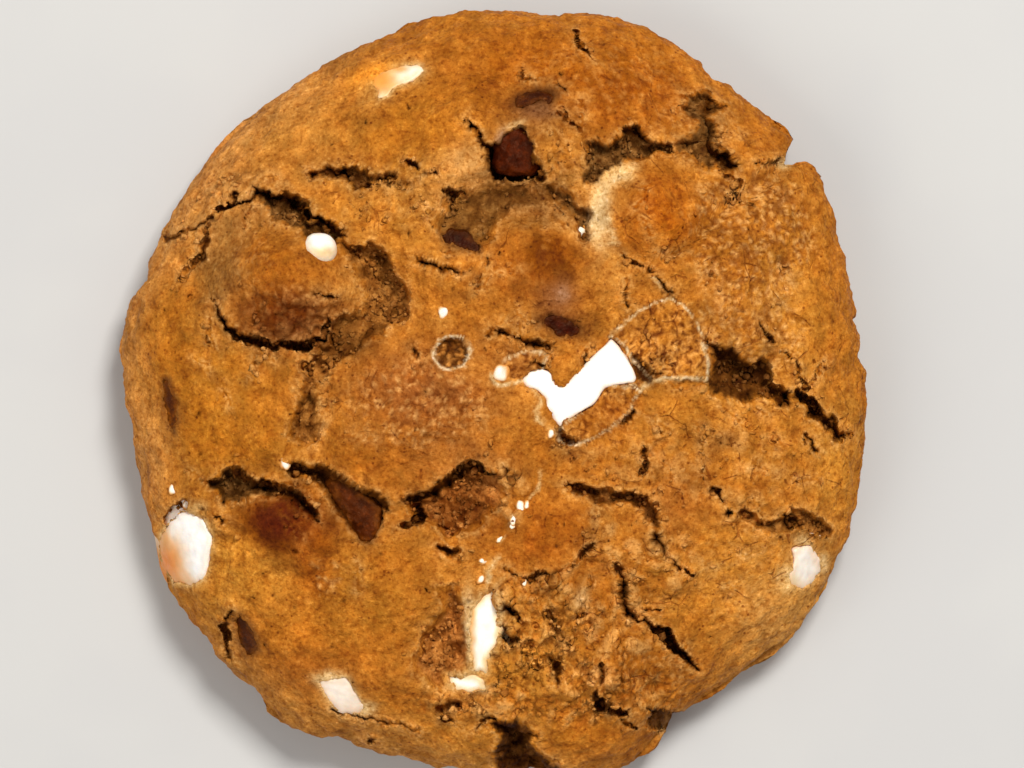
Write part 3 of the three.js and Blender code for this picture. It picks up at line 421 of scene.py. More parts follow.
WRINKLE_GLINT = (240, 178, 104)
BUBBLE_CRUMB = (220, 146, 66)
# The bubble's gap colour is painted shade between its crumbs; its rim colour is a painted highlight.
BUBBLE_GAP = (60, 30, 10)
BUBBLE_RIM = (250, 222, 178)
PLATE_GRAIN = (234, 160, 76)
# The plate rim colour is a painted highlight along the plates' raised edges.
PLATE_RIM = (248, 218, 170)
SLAB_TONE = (255, 252, 248)
# Floors of open crumb: the colour between the crumbs (crumb brown with painted shade in it) and on top of
# them.
FLOORS = {
    "moist": ((80, 46, 17), (164, 112, 56)),
    "brown": ((90, 50, 18), (156, 100, 46)),
    "dark": ((66, 32, 10), (122, 72, 28)),
    "tan": ((118, 68, 24), (204, 136, 62)),
    "olive": ((92, 54, 20), (148, 98, 44)),
    "rusty": ((116, 58, 18), (220, 140, 66)),
}
# Patches of crust, each over the ones before: colour, x, y, half length, half width, strength.
PATCHES = [
    (GOLD, -36, 1, 8, 11, 0.9), (GOLD, -30, -6, 9, 6, 0.6), (SAND, -36, 27, 8, 7, 0.6),
    (SUN, 28, -2, 10, 5, 0.3), (SAND, -27, 35, 10, 6, 0.6), ((164, 112, 54), -32.6, 16, 3.8, 8.5, 1),
    (STRAW, -18.2, 12.4, 2.6, 3.4, 0.7), (OLIVE, -27, 22, 4, 2.5, 0.4), (AMBER, -27, 16.7, 5, 4.5, 0.7),
    (UMBER, -24.6, 10.2, 6, 3.8, 0.85), (RUST, -29.6, 11.5, 3, 2.6, 0.6), (STRAW, -10, 24, 10, 4.5, 0.55),
    (HONEY, -9, 19, 8, 4, 0.5), (GOLD, -10, 33, 10, 6, 0.6), (OLIVE, -23, 31, 5, 4, 0.35),
    # The GLINT patch at (-3.4, 28.6) is a pale bump, its paleness partly a painted highlight.
    (GLINT, -3.4, 28.6, 3.4, 3.2, 0.85), ((162, 84, 18), 12, 39, 15, 7, 0.95), (RUST, 20, 37, 8, 4, 0.35),
    (OLIVE, 4.5, 33, 4.5, 4.5, 0.5), (HONEY, 8, 29, 3.5, 3, 0.5), (AMBER, 34, 32, 8, 4, 0.4),
    (STRAW, 12, 27, 4, 1.6, 0.5), ((168, 84, 14), 20.5, 23, 5.8, 5.2, 0.9),
    (CREAM, 13.3, 22.4, 1.6, 4.6, 0.95), (CREAM, 15.2, 27.6, 2.2, 1.4, 0.7),
    (TOAST, 15.6, 24.5, 1.6, 3.6, 0.6), (OLIVE, 11.5, 20.5, 2, 2.4, 0.5), (HONEY, 33, 20, 9, 7, 0.3),
    (HONEY, 26, 29, 5, 3, 0.5), (HONEY, 39, 10, 6, 10, 0.7), (AMBER, 43, 14, 3, 10, 0.4),
    (SIENNA, -8.2, 0.5, 9, 6, 0.85), (AMBER, -15.5, -7.5, 6, 4, 0.6), (SIENNA, -5, -8, 8, 3, 0.4),
    (RUST, 4.5, 15.5, 7, 5, 0.6), (UMBER, 7.6, 13.6, 3.2, 3.6, 0.3), (UMBER, 7.6, 18.2, 2.2, 1.6, 0.4),
    (STRAW, 14.6, 15, 3, 3, 0.4), (UMBER, -25.6, -15.8, 4.4, 3, 0.8), (RUST, -22.4, -20, 2.2, 5, 0.6),
    (GOLD, -31, -20, 6, 5, 0.7), (GOLD, -16, -24, 7, 6, 0.5), (AMBER, -23, -31, 8, 6, 0.4),
    (OLIVE, -26.5, -21, 2.5, 3, 0.3), (SIENNA, -22, -34.5, 6, 3, 0.3), (SUN, 4.5, -33, 7, 4.5, 0.7),
    (HONEY, 14, -31, 6, 4, 0.4), (RUST, 6, -18, 7, 5, 0.8), (STRAW, 13.6, -17, 1.4, 3.4, 0.5),
    (AMBER, 13, -24, 5, 4, 0.5), (HONEY, 29, -5, 11, 8, 0.7), (OLIVE, 28.9, -5.4, 2.4, 1.8, 0.7),
    (HONEY, 31, -22, 9, 8, 0.55), (STRAW, 39.5, -27, 5, 4, 0.7), (AMBER, 19, -34, 7, 4, 0.6),
    (AMBER, 11, -43, 8, 3.6, 0.7), (SIENNA, 23, -13, 4, 5, 0.35), (MUD, 2, 24.4, 7.5, 3.4, 0.85),
    (HONEY, 21, 7.4, 5, 5, 0.6), (AMBER, 14, -2.5, 5, 3, 0.35), (UMBER, 1.5, 5, 4, 1.5, 0.4),
    (STRAW, -22, -0.5, 1.5, 8, 0.3), (SUN, -33, -22, 9, 6, 0.8), (SAND, -42.5, -8, 3, 8, 0.8),
    (SUN, 43, -9, 4, 9, 0.8), ((112, 52, 16), -26, 9.6, 5, 2.8, 0.8), (AMBER, 10, 44, 10, 3, 0.7),
    (AMBER, 8, 42, 12, 4, 0.5), (SUN, 37, -27, 6, 6, 0.6), (SUN, 30, -24, 9, 8, 0.4),
    (GOLD, -16, 23, 9, 4, 0.3), (SUN, -26, 33, 9, 5, 0.4), (SUN, -20, -25, 8, 5, 0.3),
    (SUN, 37, 10, 6, 10, 0.4), (SAND, 37, -28, 7, 6, 0.95), (SUN, -4, -43, 16, 4, 0.5),
    (UMBER, -24, 9.6, 6, 3, 0.5), ((84, 28, 0), -25.4, -15.2, 5.4, 3.6, 1),
    ((112, 52, 6), 7, 17.2, 3, 2.4, 0.8), (RUST, -22, -20.5, 2.4, 4.6, 0.8), (SUN, 4, -30, 8, 8, 0.5),
    (OLIVE, 9.6, -7, 1.8, 1.3, 0.6), (CREAM, 11, -24.9, 0.9, 1.1, 0.9), (TOAST, -1.5, -22, 3, 2.5, 0.5),
]
# Halos of melted white chocolate and hazes over dark chocolate in the crust, and two painted highlights:
# colour, x, y, half length, half width, turn, strength.
HALOS = [
    ((236, 146, 46), -15.2, 40, 3.4, 1.5, 25, 1), (STRAW, -15.4, 37.6, 1.6, 2.2, 0, 0.6),
    (CREAM, -2.9, -28.4, 0.9, 5.4, 0, 0.8), (TOAST, -0.8, -22.2, 1.3, 2.2, 0, 0.8),
    (TOAST, -6.2, -35, 1, 0.9, 0, 0.8), (TOAST, -3.4, -37, 2.8, 0.7, 0, 0.6),
    (CREAM, -20.4, -34.9, 2.2, 0.9, 0, 0.85), (CREAM, -15.4, -38.8, 1.2, 0.9, 0, 0.8),
    (CREAM, 36.4, -22.6, 1.2, 1.8, 0, 0.7), (CREAM, 38.6, -18, 1.2, 0.8, 0, 0.8),
    (CREAM, 41.4, -20.8, 0.7, 1.4, 0, 0.8), (TOAST, -6.1, 9.6, 1.3, 1.7, 0, 0.7),
    (TOAST, -2.6, 4.4, 4, 2.6, 0, 0.45), (TOAST, 3.4, 0.4, 3, 2.2, -40, 0.5),
    ((150, 86, 34), 3.8, 4, 2.2, 1.1, 20, 0.75), ((84, 44, 18), 5.3, 36.9, 3.2, 1.3, 10, 0.85),
    ((146, 94, 56), 5.6, 35.2, 2.6, 1.2, 0, 0.8), ((92, 46, 18), 8.5, 8.9, 3, 1.7, -14, 0.6),
    ((140, 84, 46), 8.3, 12.2, 2.8, 2.4, 0, 0.8), ((198, 150, 116), 8.7, 12.5, 0.9, 1.2, 0, 0.5),
    ((250, 206, 142), 13.1, 22.2, 1.2, 4.2, 0, 0.8), ((248, 196, 122), 15.6, 27.8, 2.8, 0.8, 10, 0.7),
    # The cream streak at (2.8, 33.6) is a painted highlight on the ridge.
    (CREAM, 2.8, 33.6, 1.4, 0.4, 20, 0.7), ((170, 126, 96), 0.9, 31.6, 0.7, 1.6, -20, 0.7),
    # The cream spot at (36.2, 29) is a painted highlight in the notch.
    (CREAM, 36.2, 29, 0.9, 0.7, 0, 0.9), (CREAM, 21.8, -41, 0.9, 1.2, -40, 0.8),
    (CREAM, -36.4, -13.6, 1.4, 0.7, 0, 0.5),
]
# Patches that lie over floors and plates too: colour, x, y, half length, half width, strength.
OVERLAYS = [
    # The cocoa patch at (-18.2, 6.3) and the dark patch at (-4.5, -13.4) are painted shade on the floors of
    # the valley and the pit.
    (COCOA, -18.2, 6.3, 3.8, 2, 0.55), ((92, 40, 12), -25.2, 8.9, 4.6, 2.6, 0.45),
    ((86, 36, 6), -4.5, -13.4, 4, 2.4, 0.4), (STRAW, -7, -32, 2.4, 4.4, 0.3),
    (COCOA, 3.2, 24.6, 3.6, 1.4, 0.4), ((96, 34, 0), -25.6, -15.4, 3.8, 2.6, 0.55),
    ((158, 86, 24), 13, -2.4, 4.4, 2.6, 0.4), (SUN, 6, -32, 3.8, 2.8, 0.3),
    ((226, 154, 62), 38, -26, 5, 4.4, 0.35),
]
# Colour patches on the white pieces: colour, x, y, half length, half width, strength.
MELTED = [
    ((238, 138, 44), -40.6, -20.9, 2.2, 3.4, 1), ((236, 160, 84), -39.4, -23.2, 2.6, 1, 0.8),
    (TOAST, -41, -17.4, 0.8, 1.6, 0.6), (TOAST, -2.5, -28.4, 0.5, 4, 0.5),
    (BLUSH, -17.2, -38.8, 2.4, 1, 0.7), ((236, 152, 56), -14, 39.3, 2.4, 1.9, 0.95),
    (TOAST, -11.4, 40.7, 1, 0.5, 0.7), (CREAM, 37.4, -23.2, 1, 1.2, 0.6), (CREAM, -20.8, 17.7, 2, 0.8, 0.8),
]
# Small beads of white chocolate: x, y, radius.
BEADS = [
    (-6.1, 10.3, 0.8), (1.1, 2.8, 1.15), (3.5, -13.6, 0.7), (4.3, -13.5, 0.45), (2.6, -15.3, 0.55),
    (2.5, -16, 0.4), (0.9, -17.7, 0.4), (-1.1, -20.3, 0.5), (-1.4, -22.6, 0.5), (4, -23.1, 0.35),
    (7.3, -4.6, 0.5), (-25.6, -8.3, 0.7), (-39.7, -11.6, 0.55), (-37.9, -13.4, 0.7), (10.9, 20.4, 0.8),
]


# ---- Noise; the last number that each kind takes is its seed ----
def hashed(cell, seed):
    """A whole number that looks random for each lattice cell (rows of x, y, z)."""
    c = cell.astype(np.uint64)
    n = c[:, 0] * np.uint64(73856093) ^ c[:, 1] * np.uint64(19349663) ^ c[:, 2] * np.uint64(83492791)
    n = (n ^ np.uint64(seed * 2654435761 % 2**32)) & np.uint64(0xFFFFFFFF)
    n = (n ^ n >> np.uint64(15)) * np.uint64(2246822519) & np.uint64(0xFFFFFFFF)
    n = (n ^ n >> np.uint64(13)) * np.uint64(3266489917) & np.uint64(0xFFFFFFFF)
    return n ^ n >> np.uint64(16)


def hashed_parts(cell, seed):
    """Three numbers from 0 to 1 for each lattice cell."""
    n = hashed(cell, seed)
    return np.stack([(n >> np.uint64(shift) & np.uint64(1023)) / 1023.0 for shift in (0, 10, 20)], 1)


def noise(points, size, seed):
    """Gradient noise, about -1 to 1, with features of the given size."""
    place = points / size
    cell = np.floor(place).astype(np.int64)
    inside = place - cell
    blend = inside**3 * (inside * (inside * 6 - 15) + 10)
    total = np.zeros(len(points))
    for corner in itertools.product((0, 1), repeat=3):
        slope = hashed_parts(cell + corner, seed) * 2 - 1
        weight = np.where(corner, blend, 1 - blend).prod(1)
        total += weight * ((inside - corner) * slope).sum(1)
    return total * 1.7


def on_plane(x, y):
    """The places as rows of x, y, 0, for noise that is the same at every height."""
    return np.stack([x, y, np.zeros_like(x)], 1)


def lumps(points, size, seed):
    """Round lumps, 1 at the middle of each and down to about 0 between them."""
    place = points / size
    cell = np.floor(place).astype(np.int64)
    nearest = np.full(len(points), 9.0)
    for step in itertools.product((-1, 0, 1), repeat=3):
        middle = cell + step + 0.15 + 0.7 * hashed_parts(cell + step, seed)
        nearest = np.minimum(nearest, ((place - middle) ** 2).sum(1))
    return 1 - np.clip(nearest / 0.45, 0, 1)


def billows(points, size, seed):
    """Crumbly relief, about 0 in the creases and up to 1 on the lumps."""
    total = np.abs(noise(points, size, seed)) + 0.55 * np.abs(noise(points, size / 2, seed + 1))
    return 1.15 * (total + 0.3 * np.abs(noise(points, size / 4, seed + 2)))


def smooth(low, high, value):
    """0 below low, 1 above high, and an even rise between."""
    t = np.clip((value - low) / (high - low), 0, 1)
    return t * t * (3 - 2 * t)


def band(value, middle, half_width):
    """1 where the value is at the middle, falling away evenly on both sides."""
    return np.exp(-((value - middle) / half_width) ** 2)


def ellipse(x, y, cx, cy, half_x, half_y, turn=0.0):
    """Squared distance from an ellipse's middle, 1 at its edge."""
    a = math.radians(turn)
    u = (x - cx) * math.cos(a) + (y - cy) * math.sin(a)
    v = (y - cy) * math.cos(a) - (x - cx) * math.sin(a)
    return (u / half_x) ** 2 + (v / half_y) ** 2


# ---- Form of the plain body ----
def outline_radius(angle):
    """The radius of the widest ring in each direction, smooth between the given ones."""
    count = len(OUTLINE)
    turn = np.mod(angle / (2 * np.pi), 1) * count
    step = np.floor(turn).astype(int)
    f = turn - step
    a, b, c, d = (np.take(OUTLINE, (step + k) % count) for k in (-1, 0, 1, 2))
    return b + 0.5 * f * (c - a + f * (2 * a - 5 * b + 4 * c - d + f * (3 * (b - c) + d - a)))


def rim_radius(angle):
    """The outline with its nicks."""
    radius = outline_radius(angle)
    degrees = np.degrees(angle)
    for middle, half, depth in RIM_NICKS:
        off = np.abs((degrees - middle + 180) % 360 - 180) / half
        near = np.clip(1 - off, 0, 1)
        radius = radius - depth * (near**0.9 if depth > 1 else smooth(0, 1, near))
    return radius


def crust_level(x, y):
    """The height of the plain crust, without cracks and hollows."""
    share = np.minimum(np.hypot(x, y) / outline_radius(np.arctan2(y, x)), 1)
    level = (CROWN - WAIST) * (1 - share**SHOULDER_POWER) ** SHOULDER_ROUND
    uneven = np.zeros_like(level)
    for cx, cy, half_x, half_y, height in SWELLINGS:
        uneven += height * np.clip(1 - ellipse(x, y, cx, cy, half_x, half_y), 0, 1) ** 1.5
    for length, degrees, phase, height in WAVES:
        along = x * math.cos(math.radians(degrees)) + y * math.sin(math.radians(degrees))
        uneven += height * np.sin(2 * np.pi * along / length + phase)
    return WAIST + level + np.minimum(1, RIM_CALM * (1 - share)) * uneven


# ---- Cracks, pockets and plates ----
def outline_distance(x, y, outline):
    """Distance inside (+) or outside (-) a closed outline."""
    corners = np.array(outline, float)
    nearest = np.full(x.shape, 1e9)
    inside = np.zeros(x.shape, bool)
    for (ax, ay), (bx, by) in zip(corners, np.roll(corners, -1, axis=0)):
        dx, dy = bx - ax, by - ay
        t = np.clip(((x - ax) * dx + (y - ay) * dy) / (dx * dx + dy * dy), 0, 1)
        nearest = np.minimum(nearest, np.hypot(x - ax - t * dx, y - ay - t * dy))
        crosses = (ay > y) != (by > y)
        if by != ay:
            inside ^= crosses & (x < ax + (y - ay) * dx / dy)
    return np.where(inside, nearest, -nearest)


FISSURE_FIELD = 42         # radius within which hairline cracks start, in mm
FISSURE_STEP = 0.9
PINHOLE_FIELD = 43


def small_fissures(count=70, seed=5):
    """Short hairline cracks, scattered by a seeded rule, most of them on the right."""
    random = np.random.default_rng(seed)
    runs = []
    while len(runs) < count:
        x, y = random.uniform(-FISSURE_FIELD, FISSURE_FIELD, 2)
        if math.hypot(x, y) > FISSURE_FIELD or random.uniform() > 0.35 + 0.65 * (x > 0):
            continue
        heading = math.radians(random.normal(-40, 38))
        run = []
        width, depth = random.uniform(0.16, 0.34), random.uniform(0.3, 0.8)
        for step in range(random.integers(3, 6)):
            run.append((x, y, width, depth))
            x += FISSURE_STEP * math.cos(heading)
            y += FISSURE_STEP * math.sin(heading)
            heading += random.normal(0, 0.5)
        runs.append((0.0, run))
    return runs


def pinholes(count=150, seed=8):
    """Small round holes where bubbles opened: x, y, radius, depth."""
    random = np.random.default_rng(seed)
    angle = random.uniform(0, 2 * np.pi, count)
    radius = PINHOLE_FIELD * np.sqrt(random.uniform(0, 1, count))
    return zip(radius * np.cos(angle), radius * np.sin(angle), random.uniform(0.14, 0.36, count),
               random.uniform(0.3, 0.8, count))


def ragged(x, y):
    """The same places, shifted by noise, so that what is cut there has ragged edges."""
    flat = on_plane(x, y)
    for index, (size, reach) in enumerate(RAGGED):
        x = x + reach * noise(flat, size, 21 + index)
        y = y + reach * noise(flat, size, 31 + index)
    return x, y


def half_ragged(x, y):
    """The same places, shifted half as far."""
    wx, wy = ragged(x, y)
    return (x + wx) / 2, (y + wy) / 2


def cracks_at(x, y, cracks):
    """For each place: the depth of the crack there, how far inside it the place is, and the lift."""
    deepest = np.zeros_like(x)
    inside = np.full(x.shape, -FAR)
    lifted = np.zeros_like(x)
    flat = on_plane(x, y)
    uneven = 1 + 0.45 * noise(flat, 1.7, 26)
    for lift, run in cracks:
        run = np.array(run, float)
        margin = 14 if lift else 3
        low, high = run[:, :2].min(0) - margin, run[:, :2].max(0) + margin
        near = np.flatnonzero((x > low[0]) & (x < high[0]) & (y > low[1]) & (y < high[1]))
        px, py = x[near], y[near]
        edge, depth = np.full(px.shape, -FAR), np.zeros_like(px)
        closest, side, body = np.full(px.shape, 1e9), np.zeros_like(px), np.zeros_like(px)
        for (ax, ay, aw, ad), (bx, by, bw, bd) in zip(run, run[1:]):
            dx, dy = bx - ax, by - ay
            t = np.clip(((px - ax) * dx + (py - ay) * dy) / (dx * dx + dy * dy), 0, 1)
            away = np.hypot(px - ax - t * dx, py - ay - t * dy)
            width = (aw + (bw - aw) * t) * uneven[near]
            better = width / 2 - away > edge
            edge = np.where(better, width / 2 - away, edge)
            depth = np.where(better, ad + (bd - ad) * t, depth)
            nearer = away < closest
            closest = np.where(nearer, away, closest)
            side = np.where(nearer, np.sign((py - ay) * dx - (px - ax) * dy), side)
            body = np.where(nearer, np.clip(width, 0, 1.2) / 1.2, body)
        wall = CRACK_WALL[0] + CRACK_WALL[1] * depth
        deepest[near] = np.maximum(deepest[near], depth * uneven[near] * smooth(0, 1, edge / wall))
        inside[near] = np.maximum(inside[near], edge)
        if lift:
            fall = np.exp(-np.clip(closest, 0, None) / LIFT_REACH)
            lifted[near] = np.maximum(lifted[near], lift * fall * body * (side > 0))
    return deepest, inside, lifted


def hollows_at(x, y):
    """The floors of open crumb: depth, how far inside each place is, height and colour of the floor."""
    depth, crumbs = np.zeros_like(x), np.zeros_like(x)
    inside = np.full(x.shape, -FAR)
    tone = plain_tone(COCOA, len(x))
    flat = on_plane(x, y)
    lumpy = 0.5 + 0.4 * noise(flat, 1.6, 45) + 0.3 * noise(flat, 0.8, 46) + 0.2 * noise(flat, 0.45, 44)
    pale = smooth(0.15, 0.85, lumpy + 0.2 * noise(flat, 0.6, 47))
    for deep, wall, lean, rough, floor, outline in HOLLOWS:
        low, high = np.min(outline, 0) - 1.5, np.max(outline, 0) + 1.5
        near = np.flatnonzero((x > low[0]) & (x < high[0]) & (y > low[1]) & (y < high[1]))
        px, py = x[near], y[near]
        edge = outline_distance(px, py, outline)
        middle, reach = (low + high) / 2, np.max(high - low) / 2
        a = math.radians(lean)
        fall = ((px - middle[0]) * math.cos(a) + (py - middle[1]) * math.sin(a)) / reach
        here = deep * (1 + 0.35 * fall) * smooth(0, wall, edge)
        deeper = here > depth[near]
        dark, light = (np.array(colour, float) for colour in FLOORS[floor])
        # The floor is darker between its crumbs, as painted shade, and paler on their tops.
        colour = dark + (light - dark) * pale[near][:, None]
        tone[near] = np.where(deeper[:, None], colour, tone[near])
        crumbs[near] = np.where(deeper, rough * (lumpy[near] - 0.5) * smooth(0, wall, edge), crumbs[near])
        depth[near] = np.maximum(depth[near], here)
        inside[near] = np.maximum(inside[near], edge)
    return depth, inside, crumbs, tone


def zones_at(x, y, zones, soft):
    """The strongest of the zones at each place; each fades out towards its edge."""
    strongest = np.zeros_like(x)
    for cx, cy, half_length, half_width, strength in zones:
        zone = smooth(0, soft, 1 - ellipse(x, y, cx, cy, half_length, half_width))
        strongest = np.maximum(strongest, strength * zone)
    return strongest


def lips_of(open_edge, reach):
    """1 just outside the edge of a crack or hollow, falling to 0 over the reach."""
    return np.exp(-np.clip(-open_edge, 0, None) / reach) * (open_edge < 0)


def top_at(x, y):
    """The top of the baked body: its height and masks of what the crust is like there."""
    flat = on_plane(x, y)
    wx, wy = ragged(x, y)
    half_x, half_y = (x + wx) / 2, (y + wy) / 2
    level = crust_level(x, y)
    depth, inside, lift = cracks_at(wx, wy, CRACKS)
    hair, hair_inside, _ = cracks_at(half_x, half_y, small_fissures())
    hollow, hollow_inside, hollow_crumbs, floor_tone = hollows_at(wx, wy)
    # Painted shade: crack floors turn darker with their depth.
    floor_tone = mixed(floor_tone, COCOA, smooth(0.2, 0.9, depth))
    plate_edge = np.full(x.shape, -FAR)
    raised = np.zeros_like(x)
    for height, outline in PLATES:
        edge = outline_distance(half_x, half_y, outline)
        raised = np.maximum(raised, height * smooth(-0.08, 0.12, edge))
        plate_edge = np.maximum(plate_edge, np.where(edge > -0.3, edge, -FAR))
    pocket = np.zeros_like(x)
    by_dark, by_white = np.full(x.shape, FAR), np.full(x.shape, FAR)
    for pieces, beside in ((DARK_PIECES, by_dark), (WHITE_PIECES, by_white)):
        for _, size, _, _, soft, outline in pieces.values():
            if outline:
                edge = outline_distance(half_x, half_y, outline)
                pocket = np.maximum(pocket, POCKET_SHARE * size[2] * smooth(0, soft, edge))
                np.minimum(beside, np.abs(edge), out=beside)
    slab_edge = outline_distance(half_x, half_y, SLAB)
    pocket = np.maximum(pocket, SLAB_POCKET_SHARE * SLAB_THICK * smooth(0, 0.2, slab_edge))
    hole = np.zeros_like(x)
    for hx, hy, radius, deep in pinholes():
        close = np.flatnonzero((np.abs(x - hx) < 0.6) & (np.abs(y - hy) < 0.6))
        far = np.hypot(half_x[close] - hx, half_y[close] - hy) / radius
        hole[close] = np.maximum(hole[close], deep * smooth(0, 0.7, 1 - far))
    bx, by, bubble, bubble_depth = BUBBLE
    from_bubble = bubble - np.hypot(half_x - bx, (half_y - by) * 1.12)
    hole = np.maximum(hole, bubble_depth * smooth(0, 0.35, from_bubble))
    rim_of_bubble = 0.35 * band(from_bubble, -0.35, 0.4)
    seam, patchy = np.zeros_like(x), smooth(-0.5, 0.1, noise(flat, 1.6, 38))
    for half_width, run in SEAMS:
        _, within, _ = cracks_at(half_x, half_y, [(0, [(sx, sy, 0, 0) for sx, sy in run])])
        seam = np.maximum(seam, np.exp(-(within / half_width) ** 2) * (within > -3) * patchy)

    crumb, wrinkled = zones_at(wx, wy, CRUMBLY, 0.6), zones_at(wx, wy, WRINKLED, 0.7)
    creases = 1 - np.clip(np.abs(noise(flat, 1.9, 41)) / 0.22, 0, 1)
    creases = np.maximum(creases, 0.8 * (1 - np.clip(np.abs(noise(flat, 1.1, 42)) / 0.2, 0, 1)))
    crumbs = billows(flat, 2.7, 43) - 0.45
    bubble_crumbs = 0.3 * noise(flat, 0.7, 48) * smooth(0, 0.4, from_bubble)
    open_edge = np.maximum(inside, hollow_inside)
    lip = lips_of(open_edge, 0.7) * (0.1 + 0.5 * billows(flat, 1.2, 39))

    height = level + lift + lip + raised + rim_of_bubble + 0.15 * seam - wrinkled * creases + crumb * crumbs
    height = height - np.maximum.reduce([depth, hollow, pocket, hole, hair]) + hollow_crumbs + bubble_crumbs
    masks = {
        "sunk": np.maximum(smooth(0.15, 0.8, depth), smooth(0.2, 1.2, hollow)), "floor_tone": floor_tone,
        "open_edge": np.maximum(open_edge, hair_inside), "crumb": crumb, "crumbs": crumbs,
        "creases": creases * wrinkled, "wrinkled": wrinkled, "plate_edge": plate_edge,
        "bubble": from_bubble, "hole": hole, "seam": seam, "by_dark": by_dark, "by_white": by_white,
    }
    return height, masks


# ---- Meshes ----
def hex_disc(rings):
    """A disc of even triangles: each point's ring share and angle, and the triangles."""
    share, angle, faces = [np.zeros(1)], [np.zeros(1)], []
    first = lambda ring: 1 + 3 * ring * (ring - 1) if ring else 0
    for ring in range(1, rings + 1):
        around = np.arange(6 * ring)
        share.append(np.full(6 * ring, ring / rings))
        angle.append(2 * np.pi * around / (6 * ring))
        side, along = np.divmod(around, ring)
        inner_count = max(6 * (ring - 1), 1)
        outer, after = first(ring) + around, first(ring) + (around + 1) % (6 * ring)
        inner = first(ring - 1) + (side * (ring - 1) + along) % inner_count
        faces.append(np.stack([outer, after, inner], 1))
        part = along < ring - 1
        inner_after = first(ring - 1) + (side * (ring - 1) + along + 1) % inner_count
        faces.append(np.stack([after, inner_after, inner], 1)[part])
    return np.concatenate(share), np.concatenate(angle), np.concatenate(faces)


def mesh_from(name, points, faces):
    """A smooth mesh of triangles; the points are in millimetres."""
    mesh = bpy.data.meshes.new(name)
    mesh.vertices.add(len(points))
    mesh.vertices.foreach_set("co", (points * MM).astype(np.float32).ravel())
    mesh.loops.add(3 * len(faces))
    mesh.loops.foreach_set("vertex_index", faces.astype(np.int32).ravel())
    mesh.polygons.add(len(faces))
    mesh.polygons.foreach_set("loop_start", np.arange(0, 3 * len(faces), 3, dtype=np.int32))
    mesh.polygons.foreach_set("use_smooth", np.ones(len(faces), bool))
    mesh.update(calc_edges=True)
    mesh.validate()
    return mesh


def places_of(mesh):
    """Each vertex's place in millimetres, and its normal."""
    place = np.empty(3 * len(mesh.vertices), np.float32)
    mesh.vertices.foreach_get("co", place)
    normal = np.empty(3 * len(mesh.vertices), np.float32)
    mesh.vertex_normals.foreach_get("vector", normal)
    return place.reshape(-1, 3).astype(float) / MM, normal.reshape(-1, 3).astype(float)


def move_to(mesh, points):
    mesh.vertices.foreach_set("co", (points * MM).astype(np.float32).ravel())
    mesh.update()


def placed(name, data):
    """A new object in the scene."""
    thing = bpy.data.objects.new(name, data)
    bpy.context.scene.collection.objects.link(thing)
    return thing


def object_from(mesh, material):
    mesh.materials.append(material)
    return placed(mesh.name, mesh)


def finished_mesh(piece, name):
    """The mesh that the piece's modifiers make; the piece itself is removed."""
    mesh = bpy.data.meshes.new_from_object(piece.evaluated_get(bpy.context.evaluated_depsgraph_get()))
    bpy.data.objects.remove(piece)
    mesh.name = name
    return mesh


def thinned(mesh, most):
    """The mesh with no more than about the given number of triangles."""
    if len(mesh.polygons) <= most:
        return mesh
    name = mesh.name
    piece = placed("thinning", mesh)
    modifier = piece.modifiers.new("thin", "DECIMATE")
    modifier.ratio = most / len(mesh.polygons)
    mesh.name = name + "_full"
    thin = finished_mesh(piece, name)
    bpy.data.meshes.remove(mesh)
    return thin


def set_tone(mesh, tone):
    """Stores each vertex's colour, given as it looks in the scene's light."""
    layer = mesh.color_attributes.new("tone", "FLOAT_COLOR", "POINT")
    values = np.ones((len(tone), 4), np.float32)
    values[:, :3] = to_albedo(tone)
    layer.data.foreach_set("color", values.ravel())


def to_albedo(colour):
    """The linear colour of a surface that looks like this in the scene's light."""
    c = np.asarray(colour, float) / 255
    linear = np.where(c <= 0.04045, c / 12.92, ((c + 0.055) / 1.055) ** 2.4)
    return np.clip((linear - SHEEN) / LIGHT_LEVEL, 0.001, 0.92)


def plain_tone(colour, count):
    return np.tile(np.array(colour, float), (count, 1))


def mixed(tone, colour, amount):
    return tone + (np.array(colour, float) - tone) * np.clip(amount, 0, 1)[:, None]


def patched(tone, patches, x, y, uneven, steep=1.3, limit=1.0):
    """The colours with each patch laid on: strongest in its middle, uneven towards its edge."""
    for colour, cx, cy, half_length, half_width, *turn, strength in patches:
        reach = ellipse(x, y, cx, cy, half_length, half_width, *turn) * uneven
        tone = mixed(tone, colour, strength * np.exp(-np.clip(reach, 0, 9) ** steep) * limit)
    return tone


# ---- The baked body ----
BODY_RINGS = 235
BODY_TRIANGLES = 192_000
RING_SPREAD = math.radians(68)
SIDE_SHARE = 0.2           # share of the lower disc's rings that make the side
FOOT_LEAST = 1.6           # the least height of the side where a gash reaches the rim
GRAIN = [(5.4, 0.5), (2.2, 0.3), (0.9, 0.13), (0.5, 0.08)]  # size and height of each noise


